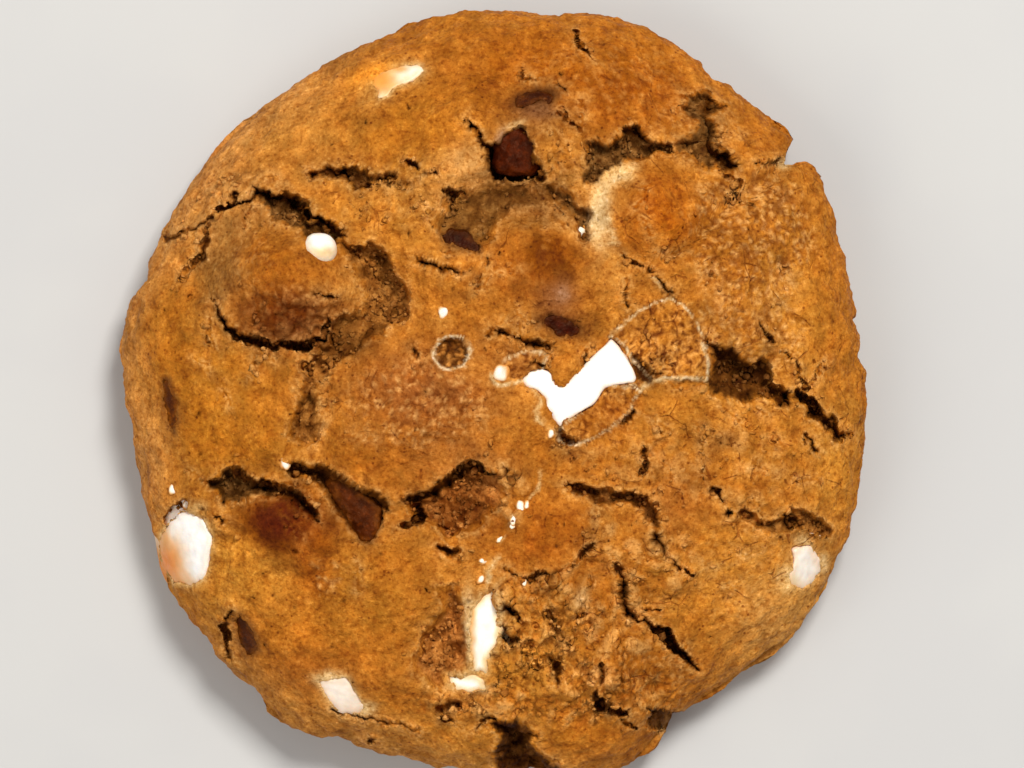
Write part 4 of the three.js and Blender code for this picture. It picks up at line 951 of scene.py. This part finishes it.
def body_mesh():
    """The baked body: the cracked top, the side down to the foot, and the flat underside."""
    share, angle, faces = hex_disc(BODY_RINGS)
    rim = rim_radius(angle)
    radius = rim * np.sin(RING_SPREAD * share) / math.sin(RING_SPREAD)
    x, y = radius * np.cos(angle), radius * np.sin(angle)
    height, masks = top_at(x, y)
    height = np.maximum(height, FOOT_LEAST)
    top = np.stack([x, y, height], 1)

    edge_count = 6 * BODY_RINGS
    edge = len(share) - edge_count
    edge_height = height[edge:]
    under = 1 - share[:edge]
    fall = np.clip(under / SIDE_SHARE, 0, 1)
    foot_share = np.clip((1 - under) / (1 - SIDE_SHARE), 0, 1)
    low_radius = (rim[:edge] - TUCK * fall**2) * np.where(fall < 1, 1, foot_share)
    start = np.interp(angle[:edge], angle[edge:], edge_height, period=2 * np.pi)
    low = np.stack([low_radius * np.cos(angle[:edge]), low_radius * np.sin(angle[:edge]),
                    start * (1 - fall)], 1)
    points = np.concatenate([top, low])
    lower_index = np.concatenate([len(top) + np.arange(edge), edge + np.arange(edge_count)])
    all_faces = np.concatenate([faces, lower_index[faces][:, ::-1]])
    mesh = mesh_from("cookie_body", points, all_faces)

    points, normals = places_of(mesh)
    crumbly = np.zeros(len(points))
    crumbly[:len(top)] = np.clip(masks["crumb"] + 0.4 * masks["sunk"], 0, 1)
    shift = np.zeros(len(points))
    for index, (size, reach) in enumerate(GRAIN):
        shift += reach * (1 + 0.9 * crumbly) * noise(points, size, 51 + index)
    points = points + normals * shift[:, None]
    points[:, 2] = np.maximum(points[:, 2], 0)
    on_floor = np.concatenate([np.zeros(len(top), bool), fall >= 1])
    points[on_floor, 2] = 0
    move_to(mesh, points)
    return thinned(mesh, BODY_TRIANGLES)


def body_tone(points):
    """Each vertex's colour: patches of crust, brown crumb in the cracks, a paler side, painted light and
    shade.
    """
    x, y, z = points.T
    share = np.minimum(np.hypot(x, y) / outline_radius(np.arctan2(y, x)), 1)
    _, masks = top_at(x, y)
    broad, fine = noise(points, 3.6, 61), noise(points, 1.3, 62)
    tone = plain_tone(CRUST_TONE, len(x))
    uneven = 1 + 0.45 * broad + 0.25 * fine
    tone = patched(tone, PATCHES, x, y, uneven)

    direction = np.degrees(np.arctan2(y, x)) % 360
    side = smooth(0.88, 0.99, share + 0.02 * broad)
    tone = mixed(tone, SAND, 0.75 * side * smooth(100, 130, direction) * smooth(200, 175, direction))
    tone = mixed(tone, FAWN, 0.8 * side * smooth(200, 235, direction) * smooth(300, 275, direction))
    tone = mixed(tone, STRAW, 0.5 * side * smooth(300, 315, direction) * smooth(345, 330, direction))
    tone = mixed(tone, HONEY, 0.4 * side * (direction < 100))

    tone = mixed(tone, CRUST_DARKER, 0.26 * smooth(0.1, -0.7, noise(points, 2.4, 66)))
    tone = mixed(tone, CRUST_LIGHTER, 0.25 * smooth(0.1, 0.7, noise(points, 2.4, 66)))
    # Painted highlight and shade: the crust is paler on the high points of the relief noise that also lifts
    # the surface, and darker and rustier in its low points.
    relief_noise = 0.5 * noise(points, 2.0, 52) + 0.6 * noise(points, 0.9, 53) + 0.5 * noise(points, 0.5, 54)
    tone = tone * (1 + 0.13 * relief_noise)[:, None]
    tone = mixed(tone, STRAW, 0.45 * smooth(0.3, 1.1, relief_noise))
    tone = mixed(tone, RUST, 0.3 * smooth(-0.3, -1.1, relief_noise))
    on_top = smooth(3, 6, z)
    loose = np.clip(masks["crumb"] * 1.6, 0, 1)
    # Painted highlight on the tops of the crumb lumps and painted shade in the creases between them.
    tone = mixed(tone, GLINT, 0.6 * smooth(0, 0.4, masks["crumbs"]) * loose)
    tone = mixed(tone, UMBER, 0.4 * smooth(-0.2, -0.42, masks["crumbs"]) * loose)
    glints = smooth(0.45, 0.85, lumps(points, 1.0, 64)) * np.clip(masks["wrinkled"] / 0.2, 0, 1)
    tone = mixed(tone, WRINKLE_GLINT, 0.7 * glints)
    # Painted shade in the creases of the wrinkled zones.
    tone = mixed(tone, UMBER, 0.45 * smooth(0.05, 0.2, masks["creases"]))
    # Painted highlight on the lumps of the raised lips round cracks and hollows.
    lips = lips_of(masks["open_edge"], 0.6)
    tone = mixed(tone, GLINT, 0.75 * lips * smooth(0.1, 0.6, billows(points, 1.2, 39)) * on_top)
    tone = mixed(tone, CREAM, 0.85 * np.exp(-masks["by_white"] / 0.45))
    tone = mixed(tone, BLOOM, 0.7 * np.exp(-masks["by_dark"] / 0.45) * on_top)
    tone = patched(tone, HALOS, x, y, 1 + 0.35 * broad + 0.2 * fine, 1.5, on_top)
    tone = tone + (masks["floor_tone"] - tone) * (0.95 * masks["sunk"] * on_top)[:, None]
    # Painted shade in the pinholes and the popped bubble, darker with their depth.
    tone = mixed(tone, COCOA, 0.7 * smooth(0.15, 0.5, masks["hole"]))
    floor_of_bubble = smooth(0, 0.3, masks["bubble"])
    bubble_specks = noise(points, 0.6, 48)
    # Pale crumbs on the bubble's floor, with dark specks between them that are painted shade.
    tone = mixed(tone, BUBBLE_CRUMB, floor_of_bubble * smooth(0, 0.5, bubble_specks))
    tone = mixed(tone, BUBBLE_GAP, 0.8 * floor_of_bubble * smooth(0, -0.5, bubble_specks))
    # Painted highlight: a pale ring along the bubble's raised rim.
    tone = mixed(tone, BUBBLE_RIM, band(masks["bubble"], -0.14, 0.2))
    plate = smooth(0.1, 0.5, masks["plate_edge"])
    specks = 0.4 * noise(points, 1.2, 67) + 1.1 * noise(points, 0.45, 68)
    tone = mixed(tone, UMBER, 0.9 * plate * smooth(-0.1, -0.6, specks))
    tone = mixed(tone, PLATE_GRAIN, 0.8 * plate * smooth(0, 0.55, specks))
    # Painted shadow: a dark band just outside each raised plate's edge; then a painted highlight, a pale
    # line along the edge itself.
    tone = mixed(tone, COCOA, 0.5 * band(masks["plate_edge"], -0.24, 0.12) * on_top)
    tone = mixed(tone, PLATE_RIM, band(masks["plate_edge"], 0.02, 0.13) * on_top)
    tone = mixed(tone, CREAM, 0.8 * masks["seam"] * on_top)
    tone = patched(tone, OVERLAYS, x, y, uneven)
    tone = mixed(tone, UNDERSIDE, smooth(1.2, 0.1, z))
    return tone * (1 + 0.1 * broad + 0.07 * fine)[:, None]


def set_fissured(mesh):
    """Stores how fissured the crust is at each vertex."""
    points, _ = places_of(mesh)
    x, y, z = points.T
    amount = np.zeros(len(points))
    for cx, cy, half_x, half_y, strength in FISSURED:
        reach = ellipse(x, y, cx, cy, half_x, half_y) * (1 + 0.4 * noise(points, 5, 65))
        amount = np.maximum(amount, strength * smooth(1.2, 0.5, reach))
    layer = mesh.attributes.new("fissured", "FLOAT", "POINT")
    layer.data.foreach_set("value", (amount * smooth(4, 8, z)).astype(np.float32))


CRUMB_COUNT = 2480
CRUMB_TRIES = 30_000
CRUMB_FIELD = 45           # radius within which crumbs lie, in mm
CRUMB_LEAST = 0.13         # least radius before a crumb is stretched, and how much more the largest has
CRUMB_MORE = 0.26


def crumbs_mesh(name):
    """Crumbs in the hollows, on the lips of the cracks and where the dough is crumbly."""
    random = np.random.default_rng(17)
    angle = random.uniform(0, 2 * np.pi, CRUMB_TRIES)
    away = CRUMB_FIELD * np.sqrt(random.uniform(0, 1, len(angle)))
    x, y = away * np.cos(angle), away * np.sin(angle)
    height, masks = top_at(x, y)
    lips = lips_of(masks["open_edge"], 0.5)
    chance = 0.8 * masks["sunk"] + 0.3 * lips + 0.3 * np.clip(masks["crumb"] / 1.2, 0, 1)
    chance = chance * (masks["by_white"] > 0.8) * (masks["by_dark"] > 0.6)
    chosen = np.flatnonzero(random.uniform(0, 1, len(x)) < chance)[:CRUMB_COUNT]
    radius = CRUMB_LEAST + CRUMB_MORE * random.uniform(0, 1, len(chosen)) ** 2
    middles = np.stack([x[chosen], y[chosen], height[chosen] - 0.1 * radius], 1)
    stretch = random.uniform(0.6, 1.4, (len(chosen), 3)) * radius[:, None]
    ball = ball_mesh("crumb", 2)
    unit = places_of(ball)[0] * MM
    faces = triangles_of(ball)
    shapes = np.repeat(middles, len(unit), 0) * 1.7 + np.tile(unit, (len(chosen), 1))
    uneven = 1 + 0.8 * noise(shapes, 0.8, 162)
    points = np.tile(unit, (len(chosen), 1)) * uneven[:, None] * np.repeat(stretch, len(unit), 0)
    points += np.repeat(middles, len(unit), 0)
    corners = (faces[None] + len(unit) * np.arange(len(chosen))[:, None, None]).reshape(-1, 3)
    tone = mixed(body_tone(middles), GLINT, random.uniform(0, 0.3, len(chosen)))
    return mesh_from(name, points, corners), np.repeat(tone, len(unit), 0)


# ---- Chocolate pieces ----
def ball_mesh(name, subdivisions):
    ball = bmesh.new()
    bmesh.ops.create_icosphere(ball, subdivisions=subdivisions, radius=1)
    mesh = bpy.data.meshes.new(name)
    ball.to_mesh(mesh)
    ball.free()
    mesh.polygons.foreach_set("use_smooth", np.ones(len(mesh.polygons), bool))
    return mesh


def triangles_of(mesh):
    return np.array([list(polygon.vertices) for polygon in mesh.polygons])


def crust_frame(at, turn, middle_depth):
    """Middle and axes of a piece that lies in the crust: along, across and out of it."""
    x, y = at
    step = 0.5
    near = crust_level(np.array([x + step, x - step, x, x, x]), np.array([y, y, y + step, y - step, y]))
    normal = np.array([near[1] - near[0], near[3] - near[2], 2 * step])
    normal /= np.linalg.norm(normal)
    long = np.array([math.cos(math.radians(turn)), math.sin(math.radians(turn)), 0])
    long -= normal * long.dot(normal)
    long /= np.linalg.norm(long)
    across = np.cross(normal, long)
    return np.array([x, y, near[4]]) - normal * middle_depth, np.stack([long, across, normal])


def block_mesh(name, piece, seed, rough, power):
    """A rounded, slightly uneven block; returns the mesh and each vertex's place on it (-1 to 1)."""
    at, size, turn, proud, _, outline = piece
    mesh = ball_mesh(name, 5)
    ball, _ = places_of(mesh)
    unit = ball * MM
    reach = (np.abs(unit) ** power).sum(1) ** (-1 / power)
    local = unit * reach[:, None]
    half = np.array(size) / 2
    offset = local * half
    away = unit * (rough * (0.5 * noise(offset, 2.6, seed) + 0.25 * noise(offset, 1.1, seed + 1)
                            + 0.1 * noise(offset, 0.5, seed + 2)))[:, None]
    middle, axes = crust_frame(at, turn, size[2] / 2 - proud)
    points = middle + (offset + away) @ axes
    if outline:
        x, y = points[:, 0], points[:, 1]
        outside = -outline_distance(*half_ragged(x, y), outline)
        top = crust_level(x, y) + proud + 0.3 * rough * noise(points, 1.4, seed + 5)
        points[:, 2] = np.minimum(points[:, 2], top - 1.6 * smooth(-0.05, 0.6, outside))
    move_to(mesh, points)
    return mesh, local


# Each piece's main colour, the colour of its melted edge, how much of it there is, its roughness
# of form in mm, its noise seed and how square it is.
PIECE_LOOKS = {
    "dark_chunk_north": ((78, 30, 12), (112, 50, 24), 0.4, 0.8, 101, 4.5),
    "dark_tip_north": ((66, 28, 8), (100, 52, 20), 0.7, 0.25, 104, BLOCK_POWER),
    "dark_chunk_basin": ((54, 20, 2), (84, 42, 12), 0.7, 0.25, 107, BLOCK_POWER),
    "dark_chip_middle": ((62, 22, 0), (84, 38, 8), 0.8, 0.3, 110, BLOCK_POWER),
    "dark_chunk_southwest": ((82, 36, 10), (122, 68, 28), 0.6, 1.0, 113, BLOCK_POWER),
    "dark_chunk_flank": ((78, 36, 8), (124, 72, 28), 0.8, 0.25, 116, BLOCK_POWER),
    "dark_sliver_west": ((88, 42, 8), (130, 72, 22), 0.8, 0.2, 119, BLOCK_POWER),
    "white_streak_northwest": ((255, 250, 240), CREAM, 0.5, 0.3, 122, BLOCK_POWER),
    "white_bead_northwest": ((255, 252, 246), (244, 214, 176), 0.5, 0.2, 125, BEAD_POWER),
    "white_chunk_west": ((255, 253, 250), BLUSH, 0.5, 0.3, 128, BLOCK_POWER),
    "white_chunk_south": ((254, 238, 222), BLUSH, 0.9, 0.3, 131, BLOCK_POWER),
    "white_bar_south": ((255, 250, 240), CREAM, 0.9, 0.3, 134, BLOCK_POWER),
    "white_foot_south": ((255, 250, 240), CREAM, 0.8, 0.3, 137, BLOCK_POWER),
    "white_chunk_southeast": ((255, 244, 232), BLUSH, 0.9, 0.3, 140, BLOCK_POWER),
}


def piece_tone(points, local, look, outline):
    """The colours of a block, with the colour of melted chocolate towards its edge."""
    main, edge, amount, _, seed, _ = look
    uneven = noise(points, 1.6, seed + 3)
    if outline:
        inside = outline_distance(*half_ragged(points[:, 0], points[:, 1]), outline)
        melted = smooth(0.9, 0.1, inside + 0.3 * uneven)
    else:
        melted = smooth(0.45, 0.95, np.max(np.abs(local[:, :2]), 1) + 0.3 * uneven)
    tone = mixed(plain_tone(main, len(points)), edge, amount * melted)
    tone = patched(tone, MELTED, points[:, 0], points[:, 1], 1 + 0.3 * uneven)
    return tone * (1 + 0.05 * noise(points, 0.9, seed + 4))[:, None]


def slab_mesh(name):
    """The white slab: a level plate cut to its outline, with soft edges."""
    x, y = np.array(SLAB, float).T
    top = crust_level(x, y).mean() + SLAB_PROUD
    plate = bmesh.new()
    corners = [plate.verts.new((px, py, top - SLAB_THICK)) for px, py in SLAB]
    face = plate.faces.new(corners)
    raised = bmesh.ops.extrude_face_region(plate, geom=[face])["geom"]
    for corner in raised:
        if isinstance(corner, bmesh.types.BMVert):
            corner.co.z = top
    bmesh.ops.recalc_face_normals(plate, faces=plate.faces)
    rough = bpy.data.meshes.new(name + "_rough")
    bmesh.ops.scale(plate, vec=(MM, MM, MM), verts=plate.verts)
    plate.to_mesh(rough)
    plate.free()
    piece = placed(name + "_rough", rough)
    fine = piece.modifiers.new("fine", "REMESH")
    fine.mode = "VOXEL"
    fine.voxel_size = 0.25 * MM
    soft = piece.modifiers.new("soft", "SMOOTH")
    soft.iterations = 12
    mesh = finished_mesh(piece, name)
    mesh.polygons.foreach_set("use_smooth", np.ones(len(mesh.polygons), bool))
    points, normals = places_of(mesh)
    shift = 0.14 * noise(points, 2.6, 151) + 0.08 * noise(points, 1.1, 152)
    move_to(mesh, points + normals * shift[:, None])
    return mesh


def slab_tone(points):
    edge = outline_distance(points[:, 0], points[:, 1], SLAB)
    tone = plain_tone(SLAB_TONE, len(points))
    tone = mixed(tone, BLUSH, 0.6 * smooth(0.6, 0.1, edge + 0.2 * noise(points, 1.2, 153)))
    return tone * (1 + 0.03 * noise(points, 0.8, 154))[:, None]


def beads_mesh(name):
    """Small beads of white chocolate that melted out of the crust."""
    ball = ball_mesh("bead", 3)
    unit = places_of(ball)[0] * MM
    faces = triangles_of(ball)
    x, y, radius = np.array(BEADS).T
    height, _ = top_at(x, y)
    points, corners, tone = [], [], []
    for index in range(len(BEADS)):
        middle = np.array([x[index], y[index], height[index] - 0.1 * radius[index]])
        uneven = 1 + 0.45 * noise(unit + 3 * index, 1.1, 161)
        turn = 1.2 + 0.5 * math.sin(7 * index)
        along, across = unit[:, 0] * (1.25 if radius[index] < 0.8 else 1), unit[:, 1] * 0.85
        shape = np.stack([along * math.cos(turn) - across * math.sin(turn),
                          along * math.sin(turn) + across * math.cos(turn), 0.6 * unit[:, 2]], 1)
        corners.append(faces + len(points) * len(unit))
        points.append(middle + shape * uneven[:, None] * radius[index])
        tone.append(mixed(plain_tone(IVORY, len(unit)), TOAST, smooth(0.9, 0.3, unit[:, 2])))
    return mesh_from(name, np.concatenate(points), np.concatenate(corners)), np.concatenate(tone)


# ---- Materials ----
class Shading:
    """Builds one material's nodes around a Principled surface."""

    def __init__(self, name):
        self.material = bpy.data.materials.new(name)
        self.material.use_nodes = True
        self.tree = self.material.node_tree
        self.surface = self.tree.nodes["Principled BSDF"]
        self.place = self.add("ShaderNodeTexCoord").outputs["Object"]

    def add(self, kind, **settings):
        node = self.tree.nodes.new(kind)
        for key, value in settings.items():
            setattr(node, key, value)
        return node

    def join(self, source, target):
        self.tree.links.new(source, target)

    def noise(self, size, detail=4.0, roughness=0.55):
        """Noise from 0 to 1 with features of the given size in millimetres."""
        node = self.add("ShaderNodeTexNoise")
        node.inputs["Scale"].default_value = 1 / (size * MM)
        node.inputs["Detail"].default_value = detail
        node.inputs["Roughness"].default_value = roughness
        self.join(self.place, node.inputs["Vector"])
        return node.outputs["Fac"]

    def cells(self, size):
        """Distance to scattered points, the given distance apart in millimetres."""
        node = self.add("ShaderNodeTexVoronoi")
        node.inputs["Scale"].default_value = 1 / (size * MM)
        self.join(self.place, node.inputs["Vector"])
        return node.outputs["Distance"]

    def cell_edges(self, size, bend, reach):
        """0 on the edges of cells of the given size; the edges wander with the reach, both in mm."""
        wander = self.add("ShaderNodeTexNoise")
        wander.inputs["Scale"].default_value = 1 / (bend * MM)
        wander.inputs["Detail"].default_value = 1.0
        self.join(self.place, wander.inputs["Vector"])
        shift = self.add("ShaderNodeVectorMath", operation="MULTIPLY_ADD")
        self.join(wander.outputs["Color"], shift.inputs[0])
        shift.inputs[1].default_value = (reach * MM,) * 3
        self.join(self.place, shift.inputs[2])
        node = self.add("ShaderNodeTexVoronoi", feature="DISTANCE_TO_EDGE")
        node.inputs["Scale"].default_value = 1 / (size * MM)
        self.join(shift.outputs["Vector"], node.inputs["Vector"])
        return node.outputs["Distance"]

    def product(self, a, b):
        node = self.add("ShaderNodeMath", operation="MULTIPLY")
        self.join(a, node.inputs[0])
        self.join(b, node.inputs[1])
        return node.outputs["Value"]

    def attribute(self, name):
        return self.add("ShaderNodeAttribute", attribute_name=name).outputs["Fac"]

    def between(self, value, low, high, at_low, at_high):
        """Carries the value from the range low to high over to the range at_low to at_high."""
        node = self.add("ShaderNodeMapRange", interpolation_type="SMOOTHSTEP")
        for key, number in (("From Min", low), ("From Max", high), ("To Min", at_low), ("To Max", at_high)):
            node.inputs[key].default_value = number
        self.join(value, node.inputs["Value"])
        return node.outputs["Result"]

    def tinted(self, colour, amount, tint):
        """The colour, multiplied by the tint as far as the amount says."""
        node = self.add("ShaderNodeMix", data_type="RGBA", blend_type="MULTIPLY")
        self.join(amount, node.inputs["Factor"])
        self.join(colour, node.inputs["A"])
        node.inputs["B"].default_value = (*tint, 1)
        return node.outputs["Result"]

    def bump(self, height, depth, strength, below=None):
        """Relief of the given depth in millimetres, on top of another one."""
        node = self.add("ShaderNodeBump")
        node.inputs["Distance"].default_value = depth * MM
        node.inputs["Strength"].default_value = strength
        self.join(height, node.inputs["Height"])
        if below is not None:
            self.join(below, node.inputs["Normal"])
        return node.outputs["Normal"]

    def tone(self):
        return self.add("ShaderNodeVertexColor", layer_name="tone").outputs["Color"]


def crust_material():
    s = Shading("baked_crust")
    fine, coarse, broad = s.noise(0.45, 4, 0.65), s.noise(1.3, 4, 0.6), s.noise(3, 3)
    fissures = s.between(s.cell_edges(4.2, 6.5, 3.2), 0.006, 0.03, 1, 0)
    fissures = s.product(fissures, s.between(broad, 0.52, 0.6, 0, 1))
    fissures = s.product(fissures, s.attribute("fissured"))
    pit_shade = s.between(s.cells(1.1), 0.1, 0.2, 1, 0)
    colour = s.tone()
    colour = s.tinted(colour, s.between(coarse, 0.5, 0.34, 0, 1), (0.74, 0.64, 0.5))
    # Painted shade and highlight: darker in the dips and pale flecks on the peaks of the fine relief that
    # the bump below makes.
    colour = s.tinted(colour, s.between(fine, 0.5, 0.34, 0, 1), (0.68, 0.58, 0.44))
    colour = s.tinted(colour, s.between(fine, 0.54, 0.7, 0, 1), (1.32, 1.5, 2.0))
    colour = s.tinted(colour, s.between(coarse, 0.55, 0.7, 0, 1), (1.1, 1.17, 1.3))
    # Painted shade of small pits: dark spots with no hollow cut in the surface.
    colour = s.tinted(colour, s.product(pit_shade, s.between(broad, 0.42, 0.6, 0.1, 1)), (0.5, 0.36, 0.3))
    # Painted shade in the hairline fissures, which the bump below also cuts.
    colour = s.tinted(colour, fissures, (0.64, 0.5, 0.42))
    s.join(colour, s.surface.inputs["Base Color"])
    relief_noise = s.bump(fine, 0.16, 0.8)
    crumb = s.bump(s.noise(0.7, 8, 0.65), 0.42, 0.9, relief_noise)
    s.join(s.bump(fissures, -0.25, 0.6, crumb), s.surface.inputs["Normal"])
    s.join(s.between(s.noise(2.2, 3), 0.35, 0.65, 0.5, 0.78), s.surface.inputs["Roughness"])
    s.surface.inputs["Specular IOR Level"].default_value = 0.06
    return s.material


def dark_material():
    s = Shading("dark_chocolate")
    colour = s.tone()
    colour = s.tinted(colour, s.between(s.noise(1.3, 5, 0.6), 0.6, 0.4, 0, 1), (0.52, 0.44, 0.4))
    colour = s.tinted(colour, s.between(s.noise(0.6, 4), 0.52, 0.7, 0, 1), (1.7, 1.75, 1.8))
    s.join(colour, s.surface.inputs["Base Color"])
    facets = s.bump(s.cells(1.5), 0.35, 0.6)
    s.join(s.bump(s.noise(0.8, 6, 0.6), 0.4, 0.8, facets), s.surface.inputs["Normal"])
    s.join(s.between(s.noise(0.7, 3), 0.4, 0.65, 0.26, 0.45), s.surface.inputs["Roughness"])
    s.surface.inputs["Specular IOR Level"].default_value = 0.14
    s.surface.inputs["Specular Tint"].default_value = (1, 0.62, 0.36, 1)
    return s.material


def white_material():
    s = Shading("white_chocolate")
    colour = s.tone()
    colour = s.tinted(colour, s.between(s.noise(1.2, 4), 0.6, 0.4, 0, 1), (0.98, 0.96, 0.93))
    s.join(colour, s.surface.inputs["Base Color"])
    s.join(s.bump(s.noise(0.6, 6, 0.6), 0.12, 0.6), s.surface.inputs["Normal"])
    s.join(s.between(s.noise(1.1, 3), 0.4, 0.65, 0.36, 0.55), s.surface.inputs["Roughness"])
    s.surface.inputs["Specular IOR Level"].default_value = 0.45
    s.surface.inputs["Subsurface Weight"].default_value = 0.12
    s.surface.inputs["Subsurface Scale"].default_value = 1.2 * MM
    return s.material


def floor_material():
    s = Shading("pale_floor")
    paper = s.add("ShaderNodeRGB")
    paper.outputs["Color"].default_value = (0.52, 0.515, 0.505, 1)
    colour = s.tinted(paper.outputs["Color"], s.between(s.noise(40, 3), 0.4, 0.6, 0, 1), (0.97, 0.97, 0.98))
    s.join(colour, s.surface.inputs["Base Color"])
    s.surface.inputs["Roughness"].default_value = 0.9
    return s.material


# ---- The object ----
def add_piece(mesh, material, tone, slot, *nodes):
    set_tone(mesh, tone)
    piece = object_from(mesh, material)
    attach(piece, "root")
    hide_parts(*nodes)
    return piece


CRUST = crust_material()
DARK = dark_material()
WHITE = white_material()

body = body_mesh()
set_fissured(body)
add_piece(body, CRUST, body_tone(places_of(body)[0]), "crust", "cookie")
crumbs, crumbs_tone = crumbs_mesh("cookie_crumbs")
add_piece(crumbs, CRUST, crumbs_tone, "crust", "cookie")

for pieces, material, slot in ((DARK_PIECES, DARK, "dark_chocolate"),
                               (WHITE_PIECES, WHITE, "white_chocolate")):
    for node_name, piece in pieces.items():
        look = PIECE_LOOKS[node_name]
        block, local = block_mesh(node_name + "_look", piece, look[4], look[3], look[5])
        add_piece(block, material, piece_tone(places_of(block)[0], local, look, piece[5]), slot, node_name)

slab = slab_mesh("white_slab_look")
add_piece(slab, WHITE, slab_tone(places_of(slab)[0]), "white_chocolate", "white_slab_middle")

beads, beads_tone = beads_mesh("white_beads")
add_piece(beads, WHITE, beads_tone, "white_chocolate", "cookie")

# ---- Floor, light and camera ----
FLOOR_SIZE = 3.0
floor_mesh = bpy.data.meshes.new("floor")
floor_mesh.from_pydata([(x * FLOOR_SIZE / 2, y * FLOOR_SIZE / 2, 0) for x, y in
                        ((-1, -1), (1, -1), (1, 1), (-1, 1))], [], [(0, 1, 2, 3)])
floor = object_from(floor_mesh, floor_material())

world = bpy.data.worlds.new("studio")
world.use_nodes = True
world.node_tree.nodes["Background"].inputs["Color"].default_value = (1.0, 0.985, 0.96, 1)
world.node_tree.nodes["Background"].inputs["Strength"].default_value = 0.36
bpy.context.scene.world = world


def add_lamp(name, place, power, size, colour):
    """A square lamp that shines at the cookie."""
    light = bpy.data.lights.new(name, "AREA")
    light.energy = power
    light.size = size
    light.color = colour
    lamp = placed(name, light)
    lamp.location = place
    lamp.rotation_euler = (Vector((0, 0, 0.01)) - Vector(place)).to_track_quat("-Z", "Y").to_euler()


add_lamp("key_light", place=(0.24, 0.46, 0.9), power=11.0, size=0.3, colour=(1.0, 0.98, 0.94))
add_lamp("fill_light", place=(-0.6, -0.45, 0.7), power=4.5, size=0.8, colour=(1.0, 0.98, 0.95))

# The photo looks almost straight down, with +Y up in the picture.
VIEW_AZIMUTH = math.radians(-35)
VIEW_ELEVATION = math.radians(89.5)
VIEW_TARGET = Vector((2.5, 1.55, 11)) * MM
LENS = 300.0
SENSOR = 36.0
VIEW_WIDTH = 127.6 * MM    # width of the picture at the target

back = Vector((math.sin(VIEW_AZIMUTH) * math.cos(VIEW_ELEVATION),
               -math.cos(VIEW_AZIMUTH) * math.cos(VIEW_ELEVATION), math.sin(VIEW_ELEVATION)))
up = (Vector((0, 1, 0)) - back * back.y).normalized()
right = up.cross(back)
spot = VIEW_TARGET + back * (VIEW_WIDTH * LENS / SENSOR)
lens = bpy.data.cameras.new("camera")
lens.lens = LENS
lens.sensor_width = SENSOR
camera = placed("camera", lens)
camera.matrix_world = Matrix([(right[i], up[i], back[i], spot[i]) for i in range(3)] + [(0, 0, 0, 1)])
bpy.context.scene.camera = camera
bpy.context.scene.view_settings.view_transform = "Standard"
